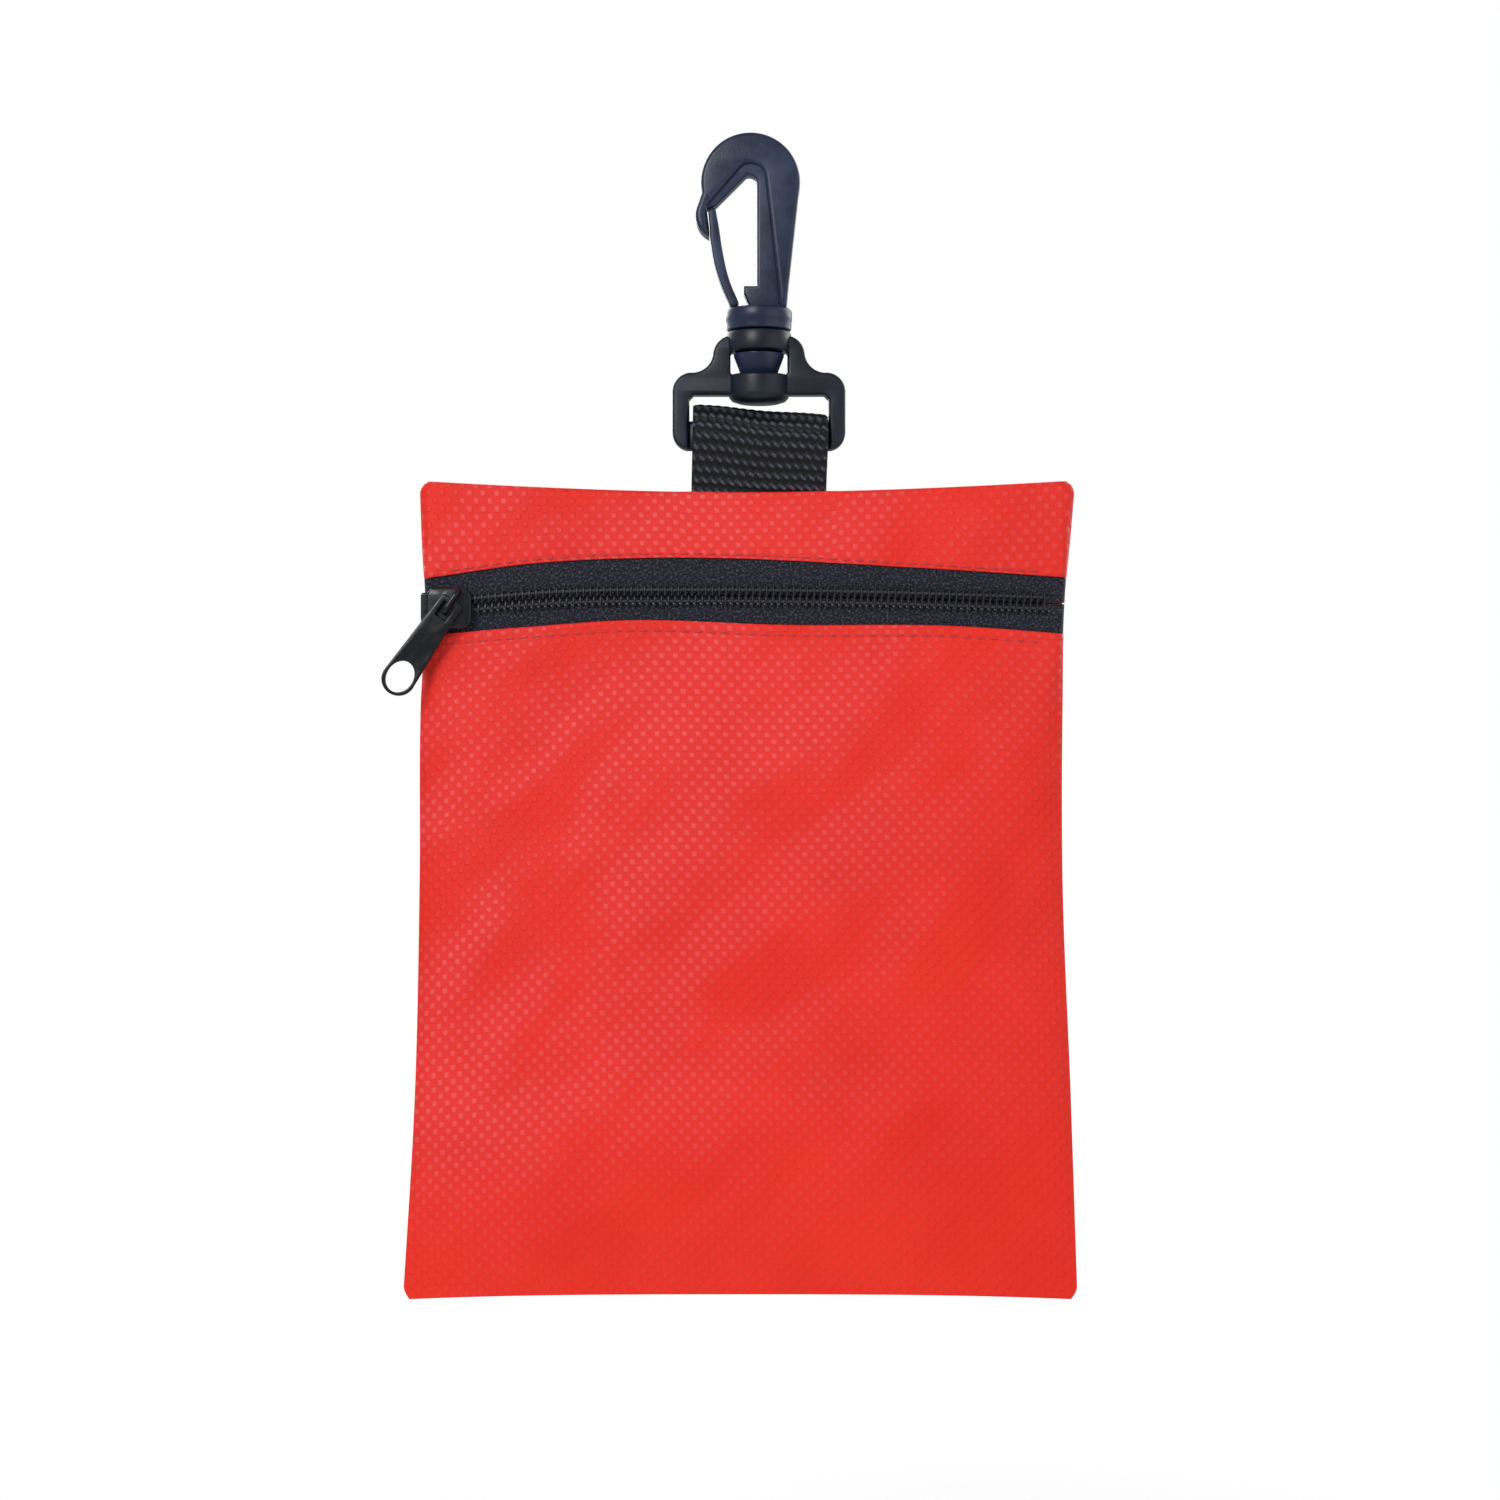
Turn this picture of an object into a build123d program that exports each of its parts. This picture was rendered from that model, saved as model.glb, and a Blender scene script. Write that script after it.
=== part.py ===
from build123d import *
import math
import os

# A pocket first aid kit: a flat cloth pouch with a zipped mouth, sewn to a webbing loop that hangs
# on the bar of a plastic swivel snap hook. Millimetres, +X right, +Y back, +Z up, seen hanging.
# The origin is the bearing point at the top of the hook's eye.

os.makedirs("parts", exist_ok=True)

# ---- Driving dimensions ----

# Hook and swivel
swivel_x = 1.6  # the swivel's vertical axis, to the right of the bearing point
hook_rib_t = 5.8  # thickness of the outer rib of the hook
hook_web_t = 4.0  # thickness of the recessed inner rim round the eye
head_r = 8.85  # outer radius of the hook's head
gate_w = 4.2  # the gate's width across the hook
gate_root_r = 0.85  # rounded lower end of the gate
gate_root_x, gate_root_z = -2.9, -22.45
collar_r = 5.95
collar_edge = 0.5  # chamfer round the collar's top; the one below it is a little smaller
collar_top_z, collar_low_z = -23.4, -27.4
post_r = 3.0
barb_r = 4.5
barb_edge = 0.5  # height of the barb's straight shoulder
slit_w = 1.4  # the slit that lets the barb's two halves pass the ring
running_gap = 0.1  # radial clearance of the post in the base's ring
end_gap = 0.2  # clearance above and below that ring

# Base
ring_r = 5.8
ring_top_z = collar_low_z - end_gap
ring_low_z = -31.2
window_half_w = 5.1
window_low_z = -35.4
boss_low_z = -40.6
boss_r = 5.5
recess_r, recess_depth = 3.6, 1.0
post_tip_gap = 0.5
barb_top_z = ring_low_z - end_gap
post_low_z = window_low_z - recess_depth + post_tip_gap
base_t = 4.2
base_half_w = 15.5
base_low_z = -48.9
slot_half_w = 12.5
slot_top_z = -39.0
bar_h, bar_t = 5.3, 3.2
bar_z = base_low_z + bar_h / 2

# Webbing
webbing_w = 24.2
webbing_t = 1.3
loop_gap = 0.35  # slack between the bar's corners and the webbing
loop_r = bar_h / 2 + loop_gap
tail_z = -61.0  # lower end of the webbing, inside the top seam

# Pouch
cloth_t = 0.6
pouch_top_z = -54.8
pouch_low_z = -201.0
zip_depth = 3.0  # how far the pouch's front stands forward of its middle plane at the zip
zip_x, zip_half_w = -1.1, 57.8
zip_corner = 3.0
hem_low_z = -61.5
hem_gap = 0.25

# Zip
zip_z = -76.3
strip_low_z = -69.6  # lower edge of the cloth above the zip
panel_top_z = -80.4  # upper edge of the cloth below it
tape_t = 0.5
tape_w = 11.0
tape_split = 0.15  # half of the gap between the two tapes
coil_in, coil_out = 0.5, 2.0  # inner and outer edge of each coil, from the zip's centre line
coil_h = 1.2
stitch_pitch, stitch_l, stitch_w, stitch_h = 2.4, 1.7, 0.35, 0.3
stitch_rows = {"zip_stitches_upper": strip_low_z + 0.8, "zip_stitches_lower": panel_top_z - 1.9}

# Slider and pull
slider_x = -53.6
slider_l, slider_w = 8.0, 7.2
slider_gap = 0.25  # clearance between the slider's plates and the coil or the tape
plate_t = 1.1
lug_span, lug_w, lug_t, lug_clear = 4.2, 1.5, 0.9, 1.8
pull_angle = 55.5  # how steeply the hanging pull points down and to the left, in degrees
pull_t = 1.1
pull_reach = 16.1  # from the pull's cross bar to the centre of its ring
pull_bar = 0.55  # half of the cross bar that turns under the lug, along the pull
pull_eye_l, pull_eye_half_w = 2.9, 1.15
pull_neck, pull_neck_half_w = 3.5, 2.3  # where the head ends
pull_half_w = 3.0
pull_hole = (2.95, 2.4)  # radii along and across the pull

# ---- Outline of the pouch: height, middle in X, half width, front depth, back depth, corner ----

top = (pouch_top_z, -0.6, 58.6, 1.9, 1.9, 2.4)
shoulder = (-65.0, zip_x, zip_half_w, zip_depth, zip_depth, zip_corner)
under_zip = (-88.0, zip_x, zip_half_w, zip_depth, zip_depth, zip_corner)
chest = (-112.0, -1.4, 57.7, 5.0, 4.2, 30.0)
belly = (-165.0, -1.5, 58.9, 5.2, 4.4, 34.0)
foot = (-192.0, -1.6, 60.0, 2.6, 2.4, 20.0)
bottom = (pouch_low_z, -1.7, 60.8, 0.85, 0.85, 2.4)

FRONT, BACK = -1, 1


def at_height(outline, z):
    """The same outline moved to another height, for a stretch of constant section."""
    return (z,) + outline[1:]


def crescent(outline, side, thickness=cloth_t, inset=0.0):
    """One layer of cloth at one height: flat in the middle, with elliptical corners back to Y = 0."""
    z, middle, half_w, front, back, corner = outline
    depth = (front if side == FRONT else back) - inset
    corner = corner - inset
    flat = half_w - inset - corner
    with BuildSketch(Plane.XY.offset(z)) as section:
        with BuildLine():
            for rx, ry in ((corner, depth), (corner - thickness, depth - thickness)):
                right_start = 0 if side == BACK else -90
                left_start = 90 if side == BACK else 180
                EllipticalCenterArc((middle + flat, 0), rx, ry, right_start, arc_size=90)
                EllipticalCenterArc((middle - flat, 0), rx, ry, left_start, arc_size=90)
                Line((middle - flat, side * ry), (middle + flat, side * ry))
            inner = corner - thickness
            Line((middle + flat + inner, 0), (middle + flat + corner, 0))
            Line((middle - flat - corner, 0), (middle - flat - inner, 0))
        make_face()
    return section.sketch


def save(builder, name):
    builder.part.label = name
    export_step(builder.part, f"parts/{name}.step")


# ---- Snap hook ----

def hook_outer():
    """The hook's outer edge: up the spine, over the head and round the nose to its tip."""
    Line((6.6, collar_top_z), (8.75, -3.0))
    ThreePointArc((8.75, -3.0), (0.1, head_r - 1.0), (-8.6, -2.9))
    Line((-8.6, -2.9), (-9.4, -5.2))
    ThreePointArc((-9.4, -5.2), (-9.4, -8.7), (-7.3, -10.8))


with BuildPart() as hook_body:
    # Inner rim: the whole hook at the thinner thickness, with the eye's edge.
    with BuildSketch(Plane.XZ):
        with BuildLine():
            hook_outer()
            Polyline(
                (-7.3, -10.8), (-7.3, -9.2), (-7.75, -5.7), (-6.1, -5.2), (-0.9, 0.0), (0.2, 0.0),
                (1.25, -1.0), (1.25, -19.5), (-1.1, -19.5), (-1.1, -21.0), (0.1, collar_top_z),
                (6.6, collar_top_z),
            )
        make_face()
    extrude(amount=hook_web_t / 2, both=True)
    # Outer rib: thicker, and set back from the eye by the width of the rim.
    with BuildSketch(Plane.XZ):
        with BuildLine():
            hook_outer()
            Line((-7.3, -10.8), (-8.0, -5.6))
            Line((-8.0, -5.6), (-1.9, 1.4))
            ThreePointArc((-1.9, 1.4), (1.2, 2.1), (2.6, 0.4))
            Line((2.6, 0.4), (5.3, collar_top_z))
            Line((5.3, collar_top_z), (6.6, collar_top_z))
        make_face()
    extrude(amount=hook_rib_t / 2, both=True)
    # Collar, post and split barb, turned on the swivel's axis.
    with BuildSketch(Plane.XZ):
        with BuildLine():
            Polyline(
                (swivel_x, collar_top_z), (swivel_x + collar_r - collar_edge, collar_top_z),
                (swivel_x + collar_r, collar_top_z - collar_edge),
                (swivel_x + collar_r, collar_low_z + 0.8 * collar_edge),
                (swivel_x + collar_r - 0.8 * collar_edge, collar_low_z),
                (swivel_x + post_r, collar_low_z), (swivel_x + post_r, barb_top_z),
                (swivel_x + barb_r, barb_top_z), (swivel_x + barb_r, barb_top_z - barb_edge),
                (swivel_x + post_r, post_low_z), (swivel_x, post_low_z), close=True,
            )
        make_face()
    revolve(axis=Axis((swivel_x, 0, 0), (0, 0, 1)))
    slit_top_z = ring_low_z + end_gap
    with Locations((swivel_x, 0, (slit_top_z + post_low_z) / 2 - 0.5)):
        Box(2 * barb_r + 1, slit_w, slit_top_z - post_low_z + 1, mode=Mode.SUBTRACT)
save(hook_body, "hook_body")

with BuildPart() as hook_gate:
    with BuildSketch(Plane.XZ):
        with BuildLine():
            left_root = (gate_root_x - gate_root_r, gate_root_z)
            right_root = (gate_root_x + gate_root_r, gate_root_z)
            Spline(right_root, (-3.6, -18.7), (-5.0, -12.7), (-5.5, -9.3), (-6.15, -5.6))
            Polyline((-6.15, -5.6), (-7.58, -6.0), (-7.2, -9.2), (-7.16, -11.0))
            Spline((-7.16, -11.0), (-6.4, -15.4), left_root)
            ThreePointArc(left_root, (gate_root_x, gate_root_z - gate_root_r), right_root)
        make_face()
    extrude(amount=gate_w / 2, both=True)
save(hook_gate, "hook_gate")

# ---- Swivel base: ring, window, boss and the loop that the webbing hangs on ----

with BuildPart() as swivel_base:
    with BuildSketch(Plane((swivel_x, 0, 0), x_dir=(1, 0, 0), z_dir=(0, -1, 0))):
        with BuildLine():
            Line((0, -28.4), (5.4, -28.4))
            ThreePointArc((5.4, -28.4), (7.4, -29.6), (8.2, -31.4))
            ThreePointArc((8.2, -31.4), (9.4, -34.0), (11.7, -35.0))
            ThreePointArc((11.7, -35.0), (14.4, -35.9), (base_half_w, -38.2))
            Line((base_half_w, -38.2), (base_half_w, base_low_z + 3.2))
            ThreePointArc(
                (base_half_w, base_low_z + 3.2), (14.55, base_low_z + 0.95), (12.3, base_low_z)
            )
            Line((12.3, base_low_z), (0, base_low_z))
            mirror(about=Plane.YZ)
        make_face()
        slot_h = slot_top_z - (bar_z + bar_h / 2)
        with Locations((0, slot_top_z - slot_h / 2)):
            RectangleRounded(2 * slot_half_w, slot_h, 0.8, mode=Mode.SUBTRACT)
    extrude(amount=base_t / 2, both=True)
    # The bar under the slot is a rounded rail, thinner than the frame.
    with BuildSketch(Plane.YZ.offset(swivel_x - slot_half_w)):
        with Locations((0, bar_z)):
            Rectangle(base_t + 1, bar_h + 0.2)
            RectangleRounded(bar_t, bar_h, bar_t / 2 - 0.05, mode=Mode.SUBTRACT)
    extrude(amount=2 * slot_half_w, mode=Mode.SUBTRACT)
    # Ring above the window, boss below it.
    ring_h, boss_h = ring_top_z - ring_low_z, window_low_z - boss_low_z
    with Locations((swivel_x, 0, ring_low_z + ring_h / 2)):
        Cylinder(ring_r, ring_h)
    with Locations((swivel_x, 0, boss_low_z + boss_h / 2)):
        Cylinder(boss_r, boss_h)
    window_h = ring_low_z - window_low_z
    with Locations((swivel_x, 0, window_low_z + window_h / 2)):
        Box(2 * window_half_w, 4 * ring_r, window_h, mode=Mode.SUBTRACT)
    with Locations((swivel_x, 0, ring_low_z + ring_h / 2)):
        Cylinder(post_r + running_gap, ring_h + 1, mode=Mode.SUBTRACT)
    with Locations((swivel_x, 0, window_low_z - recess_depth / 2)):
        Cylinder(recess_r, recess_depth, mode=Mode.SUBTRACT)
save(swivel_base, "swivel_base")

# ---- Webbing, folded over the bar, with both tails in the pouch's top seam ----

def teardrop(radius, half_t):
    """Side outline of the loop: round over the bar, then straight down to the tails."""
    reach = bar_z - pouch_top_z
    lean = math.asin((radius - half_t) / reach)
    touch_y, touch_z = radius * math.cos(lean), bar_z - radius * math.sin(lean)
    ThreePointArc((-touch_y, touch_z), (0, bar_z + radius), (touch_y, touch_z))
    Line((touch_y, touch_z), (half_t, pouch_top_z))
    Line((half_t, pouch_top_z), (half_t, tail_z))
    Line((-half_t, tail_z), (-half_t, pouch_top_z))
    Line((-half_t, pouch_top_z), (-touch_y, touch_z))


fold_gap = 0.05  # half of the gap between the two layers in the seam

with BuildPart() as webbing_loop:
    with BuildSketch(Plane.YZ.offset(swivel_x - webbing_w / 2)):
        with BuildLine():
            teardrop(loop_r + webbing_t, webbing_t)
            Line((-webbing_t, tail_z), (webbing_t, tail_z))
        make_face()
        with BuildLine():
            teardrop(loop_r, fold_gap)
            Line((-fold_gap, tail_z), (fold_gap, tail_z))
        make_face(mode=Mode.SUBTRACT)
    extrude(amount=webbing_w)
save(webbing_loop, "webbing_loop")

# ---- Cloth ----

def hems(side, depth):
    """The turned edge inside the top seam, on both sides of the webbing."""
    half_run = (webbing_w + 1) / 2
    left, right = top[1] - top[2] + 3.5, top[1] + top[2] - 3.5
    thick = depth - hem_gap
    for start, end in ((left, swivel_x - half_run), (swivel_x + half_run, right)):
        middle = ((start + end) / 2, side * (hem_gap + thick / 2), (pouch_top_z + hem_low_z) / 2)
        with Locations(middle):
            Box(end - start, thick, pouch_top_z - hem_low_z)


with BuildPart() as top_strip:
    loft([crescent(top, FRONT), crescent(shoulder, FRONT)], ruled=True)
    loft([crescent(shoulder, FRONT), crescent(at_height(shoulder, strip_low_z), FRONT)], ruled=True)
    hems(FRONT, top[3] - cloth_t + 0.05)
save(top_strip, "top_strip")

with BuildPart() as front_panel:
    panel_top = at_height(under_zip, panel_top_z)
    rows = [panel_top, under_zip, chest, belly, foot, bottom]
    for upper, lower in zip(rows, rows[1:]):
        loft([crescent(upper, FRONT), crescent(lower, FRONT)], ruled=True)
save(front_panel, "front_panel")

with BuildPart() as back_panel:
    rows = [top, shoulder, under_zip, chest, belly, foot, bottom]
    for upper, lower in zip(rows, rows[1:]):
        loft([crescent(upper, BACK), crescent(lower, BACK)], ruled=True)
    hems(BACK, top[4] - cloth_t + 0.05)
save(back_panel, "back_panel")

# Seam thread: one line down each side, one along the bottom, and one each side of the webbing.
thread_r = 0.2
side_inset = cloth_t + tape_t + 0.4
with BuildPart() as seam_threads:
    for side in (-1, 1):
        rows = [shoulder, under_zip, belly, foot]
        knots = [(row[1] + side * (row[2] - side_inset), 0, row[0]) for row in rows]
        for upper, lower in zip(knots, knots[1:]):
            run = Vector(*lower) - Vector(*upper)
            with BuildSketch(Plane(upper, z_dir=run)):
                Circle(thread_r)
            extrude(amount=run.length)
            with Locations(lower):
                Sphere(thread_r)
        with BuildSketch(Plane.YZ.offset(swivel_x + side * (webbing_w / 2 + 1))):
            with Locations((0, (pouch_top_z + hem_low_z) / 2)):
                Circle(thread_r)
        extrude(amount=side * 40)
    with BuildSketch(Plane.YZ.offset(bottom[1] - 56)):
        with Locations((0, pouch_low_z + 1.6)):
            Circle(thread_r)
    extrude(amount=112)
save(seam_threads, "seam_threads")

# ---- Zip ----

def tape(start_z, end_z, side=FRONT):
    """A tape just inside the cloth, turned back to the side seams at its ends."""
    section = crescent(at_height(shoulder, start_z), side, tape_t, inset=cloth_t)
    extrude(section, amount=end_z - start_z, dir=(0, 0, 1))


with BuildPart() as zip_tape_upper:
    tape(zip_z + tape_split, zip_z + tape_w)
save(zip_tape_upper, "zip_tape_upper")

with BuildPart() as zip_tape_lower:
    tape(zip_z - tape_w, zip_z - tape_split)
save(zip_tape_lower, "zip_tape_lower")

tape_y = -(zip_depth - cloth_t)  # front face of the tapes
tape_back_y = tape_y + tape_t
coil_y = tape_y - coil_h  # front of the coils
coil_run = 2 * (zip_half_w - zip_corner) - 1


def coil(side):
    """One row of nylon teeth, side +1 above the centre line and -1 below it."""
    with Locations((zip_x, tape_y - coil_h / 2, zip_z + side * (coil_in + coil_out) / 2)):
        Box(coil_run, coil_h, coil_out - coil_in)


with BuildPart() as zip_coil_upper:
    coil(1)
    chamfer(zip_coil_upper.faces().sort_by(Axis.Y)[0].edges().filter_by(Axis.X), length=0.4)
save(zip_coil_upper, "zip_coil_upper")

with BuildPart() as zip_coil_lower:
    coil(-1)
    chamfer(zip_coil_lower.faces().sort_by(Axis.Y)[0].edges().filter_by(Axis.X), length=0.4)
save(zip_coil_lower, "zip_coil_lower")

for name, row_z in stitch_rows.items():
    count = int(2 * (zip_half_w - zip_corner - 1) / stitch_pitch)
    with BuildPart() as stitches:
        with Locations((zip_x, -zip_depth - stitch_h / 2, row_z)):
            with GridLocations(stitch_pitch, 1, count, 1):
                Box(stitch_l, stitch_h, stitch_w)
    save(stitches, name)

# ---- Slider: a top plate with its lug, a back plate behind the tapes, and the post between ----

top_plate_y = coil_y - slider_gap  # inner face of the top plate
lug_base_y = top_plate_y - plate_t
pull_y = lug_base_y - lug_clear / 2
back_plate_y = tape_back_y + slider_gap
facing_front = Plane((slider_x, 0, zip_z), x_dir=(1, 0, 0), z_dir=(0, -1, 0))
along_pull = (-math.cos(math.radians(pull_angle)), 0, -math.sin(math.radians(pull_angle)))
# Local X runs down the pull, local Z out of the pouch's front.
on_pull = Plane((slider_x + 0.6, pull_y, zip_z), x_dir=along_pull, z_dir=(0, -1, 0))

with BuildPart() as slider_body:
    with BuildSketch(facing_front.offset(-top_plate_y)):
        RectangleRounded(slider_l, slider_w, 1.6)
        with Locations((-slider_l / 2 - 0.2, -0.5)):
            RectangleRounded(2.4, 2.6, 0.4)
    extrude(amount=plate_t)
    with BuildSketch(facing_front.offset(-back_plate_y)):
        with Locations((0.7, 0)):
            RectangleRounded(slider_l - 1.6, slider_w, 1.4)
    extrude(amount=-plate_t + 0.1)
    post_x, post_l, post_w = -2.0, 1.4, 2 * (coil_in - 0.12)
    with BuildSketch(facing_front.offset(-back_plate_y)):
        with Locations((post_x, 0)):
            Rectangle(post_l, 2 * (tape_split - 0.05))
    extrude(amount=back_plate_y - top_plate_y)
    with BuildSketch(facing_front.offset(-tape_y + 0.05)):
        with Locations((post_x, 0)):
            Ellipse(1.2, post_w / 2)
    extrude(amount=tape_y - 0.05 - top_plate_y)
    # The lug is an arch that the pull's cross bar turns under.
    arch = Plane(on_pull.origin, x_dir=along_pull, z_dir=on_pull.y_dir)
    arch_low = -(lug_clear / 2) - 0.3
    rise = 1 if arch.y_dir.Y < 0 else -1
    with BuildSketch(arch):
        outer_h = lug_clear + lug_t + 0.3
        with Locations((0, rise * (arch_low + outer_h / 2))):
            RectangleRounded(lug_span + 2 * lug_t, outer_h, 1.1)
        with Locations((0, rise * (arch_low + outer_h / 2 - lug_t))):
            RectangleRounded(lug_span, outer_h, 0.6, mode=Mode.SUBTRACT)
    extrude(amount=lug_w / 2, both=True)
save(slider_body, "slider_body")

with BuildPart() as pull_tab:
    with BuildSketch(on_pull):
        with BuildLine():
            head = (-pull_bar, pull_neck_half_w - 0.1)
            neck, ring_side = (pull_neck, pull_neck_half_w), (pull_reach, pull_half_w)
            Polyline((head[0], -head[1]), head, neck, ring_side)
            ThreePointArc(ring_side, (pull_reach + 3.5, 0), (pull_reach, -pull_half_w))
            Polyline((pull_reach, -pull_half_w), (pull_neck, -pull_neck_half_w), (head[0], -head[1]))
        make_face()
        with Locations((pull_bar + pull_eye_l / 2, 0)):
            Rectangle(pull_eye_l, 2 * pull_eye_half_w, mode=Mode.SUBTRACT)
        with Locations((pull_reach, 0)):
            Ellipse(*pull_hole, mode=Mode.SUBTRACT)
    extrude(amount=pull_t / 2, both=True)
save(pull_tab, "pull_tab")

# ---- Contents, in layers from the back of the pouch to the front ----

fill_x = -1.4
leaflet_size = (76, 0.7, 78)
pad_size = (44, 1.3, 56)
ointment_size = (60, 1.3, 17)
wipe_size = (28, 1.0, 50)
bandage_size = (19, 0.8, 74)
packet_gap = 2  # between neighbours in one row


def packets(count, size, middle_z, front_y):
    """Flat packets side by side: size is width, thickness and height."""
    width, thick, height = size
    with Locations((fill_x, front_y + thick / 2, middle_z)):
        with GridLocations(width + packet_gap, 1, count, 1):
            Box(width, thick, height)


with BuildPart() as first_aid_leaflet:
    packets(1, leaflet_size, -146, 1.4)
save(first_aid_leaflet, "first_aid_leaflet")

with BuildPart() as gauze_pads:
    packets(2, pad_size, -156, 0.0)
save(gauze_pads, "gauze_pads")

with BuildPart() as ointment_sachet:
    packets(1, ointment_size, -117, 0.0)
save(ointment_sachet, "ointment_sachet")

with BuildPart() as antiseptic_wipes:
    packets(3, wipe_size, -158, -1.2)
save(antiseptic_wipes, "antiseptic_wipes")

with BuildPart() as adhesive_bandages:
    packets(4, bandage_size, -146, -2.2)
save(adhesive_bandages, "adhesive_bandages")
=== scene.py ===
import math

import bmesh
import bpy
import numpy as np
from mathutils import Matrix, Vector


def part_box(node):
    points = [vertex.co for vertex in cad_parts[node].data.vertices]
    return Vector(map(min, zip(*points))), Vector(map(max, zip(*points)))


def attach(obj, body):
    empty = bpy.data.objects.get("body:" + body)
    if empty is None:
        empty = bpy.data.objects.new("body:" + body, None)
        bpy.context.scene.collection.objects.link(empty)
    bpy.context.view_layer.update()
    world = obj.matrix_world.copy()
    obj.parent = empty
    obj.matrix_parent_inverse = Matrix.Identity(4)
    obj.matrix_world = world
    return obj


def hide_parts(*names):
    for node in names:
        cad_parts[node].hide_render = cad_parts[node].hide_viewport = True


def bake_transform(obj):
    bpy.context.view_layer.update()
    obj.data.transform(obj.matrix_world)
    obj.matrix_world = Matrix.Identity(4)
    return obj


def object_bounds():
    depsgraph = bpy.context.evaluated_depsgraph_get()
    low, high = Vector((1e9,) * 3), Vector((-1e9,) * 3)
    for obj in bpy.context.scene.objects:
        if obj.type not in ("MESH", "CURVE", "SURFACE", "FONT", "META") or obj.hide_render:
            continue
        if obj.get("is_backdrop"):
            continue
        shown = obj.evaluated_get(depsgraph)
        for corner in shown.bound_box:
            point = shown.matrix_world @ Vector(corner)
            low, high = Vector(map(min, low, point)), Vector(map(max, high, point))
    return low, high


# A pocket first aid kit hanging from its snap hook. Shapes are worked out in millimetres, in the
# CAD's frame (+X right, +Y back, +Z up), and turned into metres when a mesh is made.

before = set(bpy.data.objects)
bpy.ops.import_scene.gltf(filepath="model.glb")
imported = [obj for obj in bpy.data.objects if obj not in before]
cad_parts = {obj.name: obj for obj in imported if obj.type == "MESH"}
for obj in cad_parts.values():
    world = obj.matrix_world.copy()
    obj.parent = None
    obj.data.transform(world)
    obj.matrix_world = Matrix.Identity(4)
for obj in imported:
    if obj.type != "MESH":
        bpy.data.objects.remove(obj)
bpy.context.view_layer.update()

MM = 0.001


def corner_mm(node):
    """A CAD node's lowest and highest corners, in millimetres."""
    low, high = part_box(node)
    return low / MM, high / MM


def middle_mm(node):
    low, high = corner_mm(node)
    return (low + high) / 2


# ---- Places taken from the frame ----

SWIVEL_X = middle_mm("swivel_base").x
WEB_LOW, WEB_HIGH = corner_mm("webbing_loop")
WEB_W = WEB_HIGH.x - WEB_LOW.x
WEB_T = 1.3
SLIDER_Z = middle_mm("zip_coil_upper").z - 1.25
PULL_Y = middle_mm("pull_tab").y

# ---- Numbers in common use ----

CLOTH_T = 0.28
TAPE_DROP = 0.62  # how far the tapes lie under the face of the cloth
TAPE_T = 0.45
HEM_DEPTH = 2.6
STITCH_PITCH = 2.4
SOFT_CREASE, HARD_CREASE = math.radians(40), math.radians(35)  # sharper edges aren't smoothed
WELD = 0.002 * MM


# ---- Shape helpers ----

def curve(at, knots):
    """A smooth line through a few (place, value) knots, read at the given places."""
    places, values = np.array(sorted(knots), float).T
    slopes = np.gradient(values, places)
    at = np.clip(np.asarray(at, float), places[0], places[-1])
    i = np.clip(np.searchsorted(places, at) - 1, 0, len(places) - 2)
    span = places[i + 1] - places[i]
    t = (at - places[i]) / span
    start, end = (1 + 2 * t) * (1 - t) ** 2, t * t * (3 - 2 * t)
    rise, fall = t * (1 - t) ** 2, t * t * (t - 1)
    bend = span * (rise * slopes[i] + fall * slopes[i + 1])
    return start * values[i] + end * values[i + 1] + bend


def step(at, low, high):
    """0 before low, 1 after high, smooth between."""
    t = np.clip((np.asarray(at, float) - low) / (high - low), 0, 1)
    return t * t * (3 - 2 * t)


def ripple(a, b, wavelength, seed, waves=7):
    """Smooth irregular waves of about one wavelength, from -1 to 1."""
    rng = np.random.default_rng(seed)
    total = 0
    for _ in range(waves):
        turn, phase = rng.uniform(0, 2 * math.pi, 2)
        k = 2 * math.pi / (wavelength * rng.uniform(0.75, 1.4))
        total = total + np.sin(k * (a * math.cos(turn) + b * math.sin(turn)) + phase)
    return total / math.sqrt(waves * 1.6)


def arc(centre, radius, start, end, count):
    """Points round a circle, from one angle to another in degrees."""
    turns = np.radians(np.linspace(start, end, count))
    return [(centre[0] + radius * math.cos(t), centre[1] + radius * math.sin(t)) for t in turns]


def smooth(points, count=24):
    """A smooth open line through a few points."""
    points = np.array(points, float)
    along = np.concatenate([[0], np.cumsum(np.linalg.norm(np.diff(points, axis=0), axis=1))])
    at = np.linspace(0, along[-1], count)
    return list(zip(*[curve(at, list(zip(along, points[:, k]))) for k in range(points.shape[1])]))


# ---- Mesh helpers ----

def in_scene(name, data):
    obj = bpy.data.objects.new(name, data)
    bpy.context.scene.collection.objects.link(obj)
    return obj


def grid_faces(rows, cols, first=0, flip=False):
    """The quads between neighbouring points of a grid."""
    r, c = np.meshgrid(np.arange(rows - 1), np.arange(cols - 1), indexing="ij")
    a = first + (r * cols + c).ravel()
    quads = np.stack([a, a + cols, a + cols + 1, a + 1], axis=1)
    return quads[:, ::-1] if flip else quads


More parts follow.
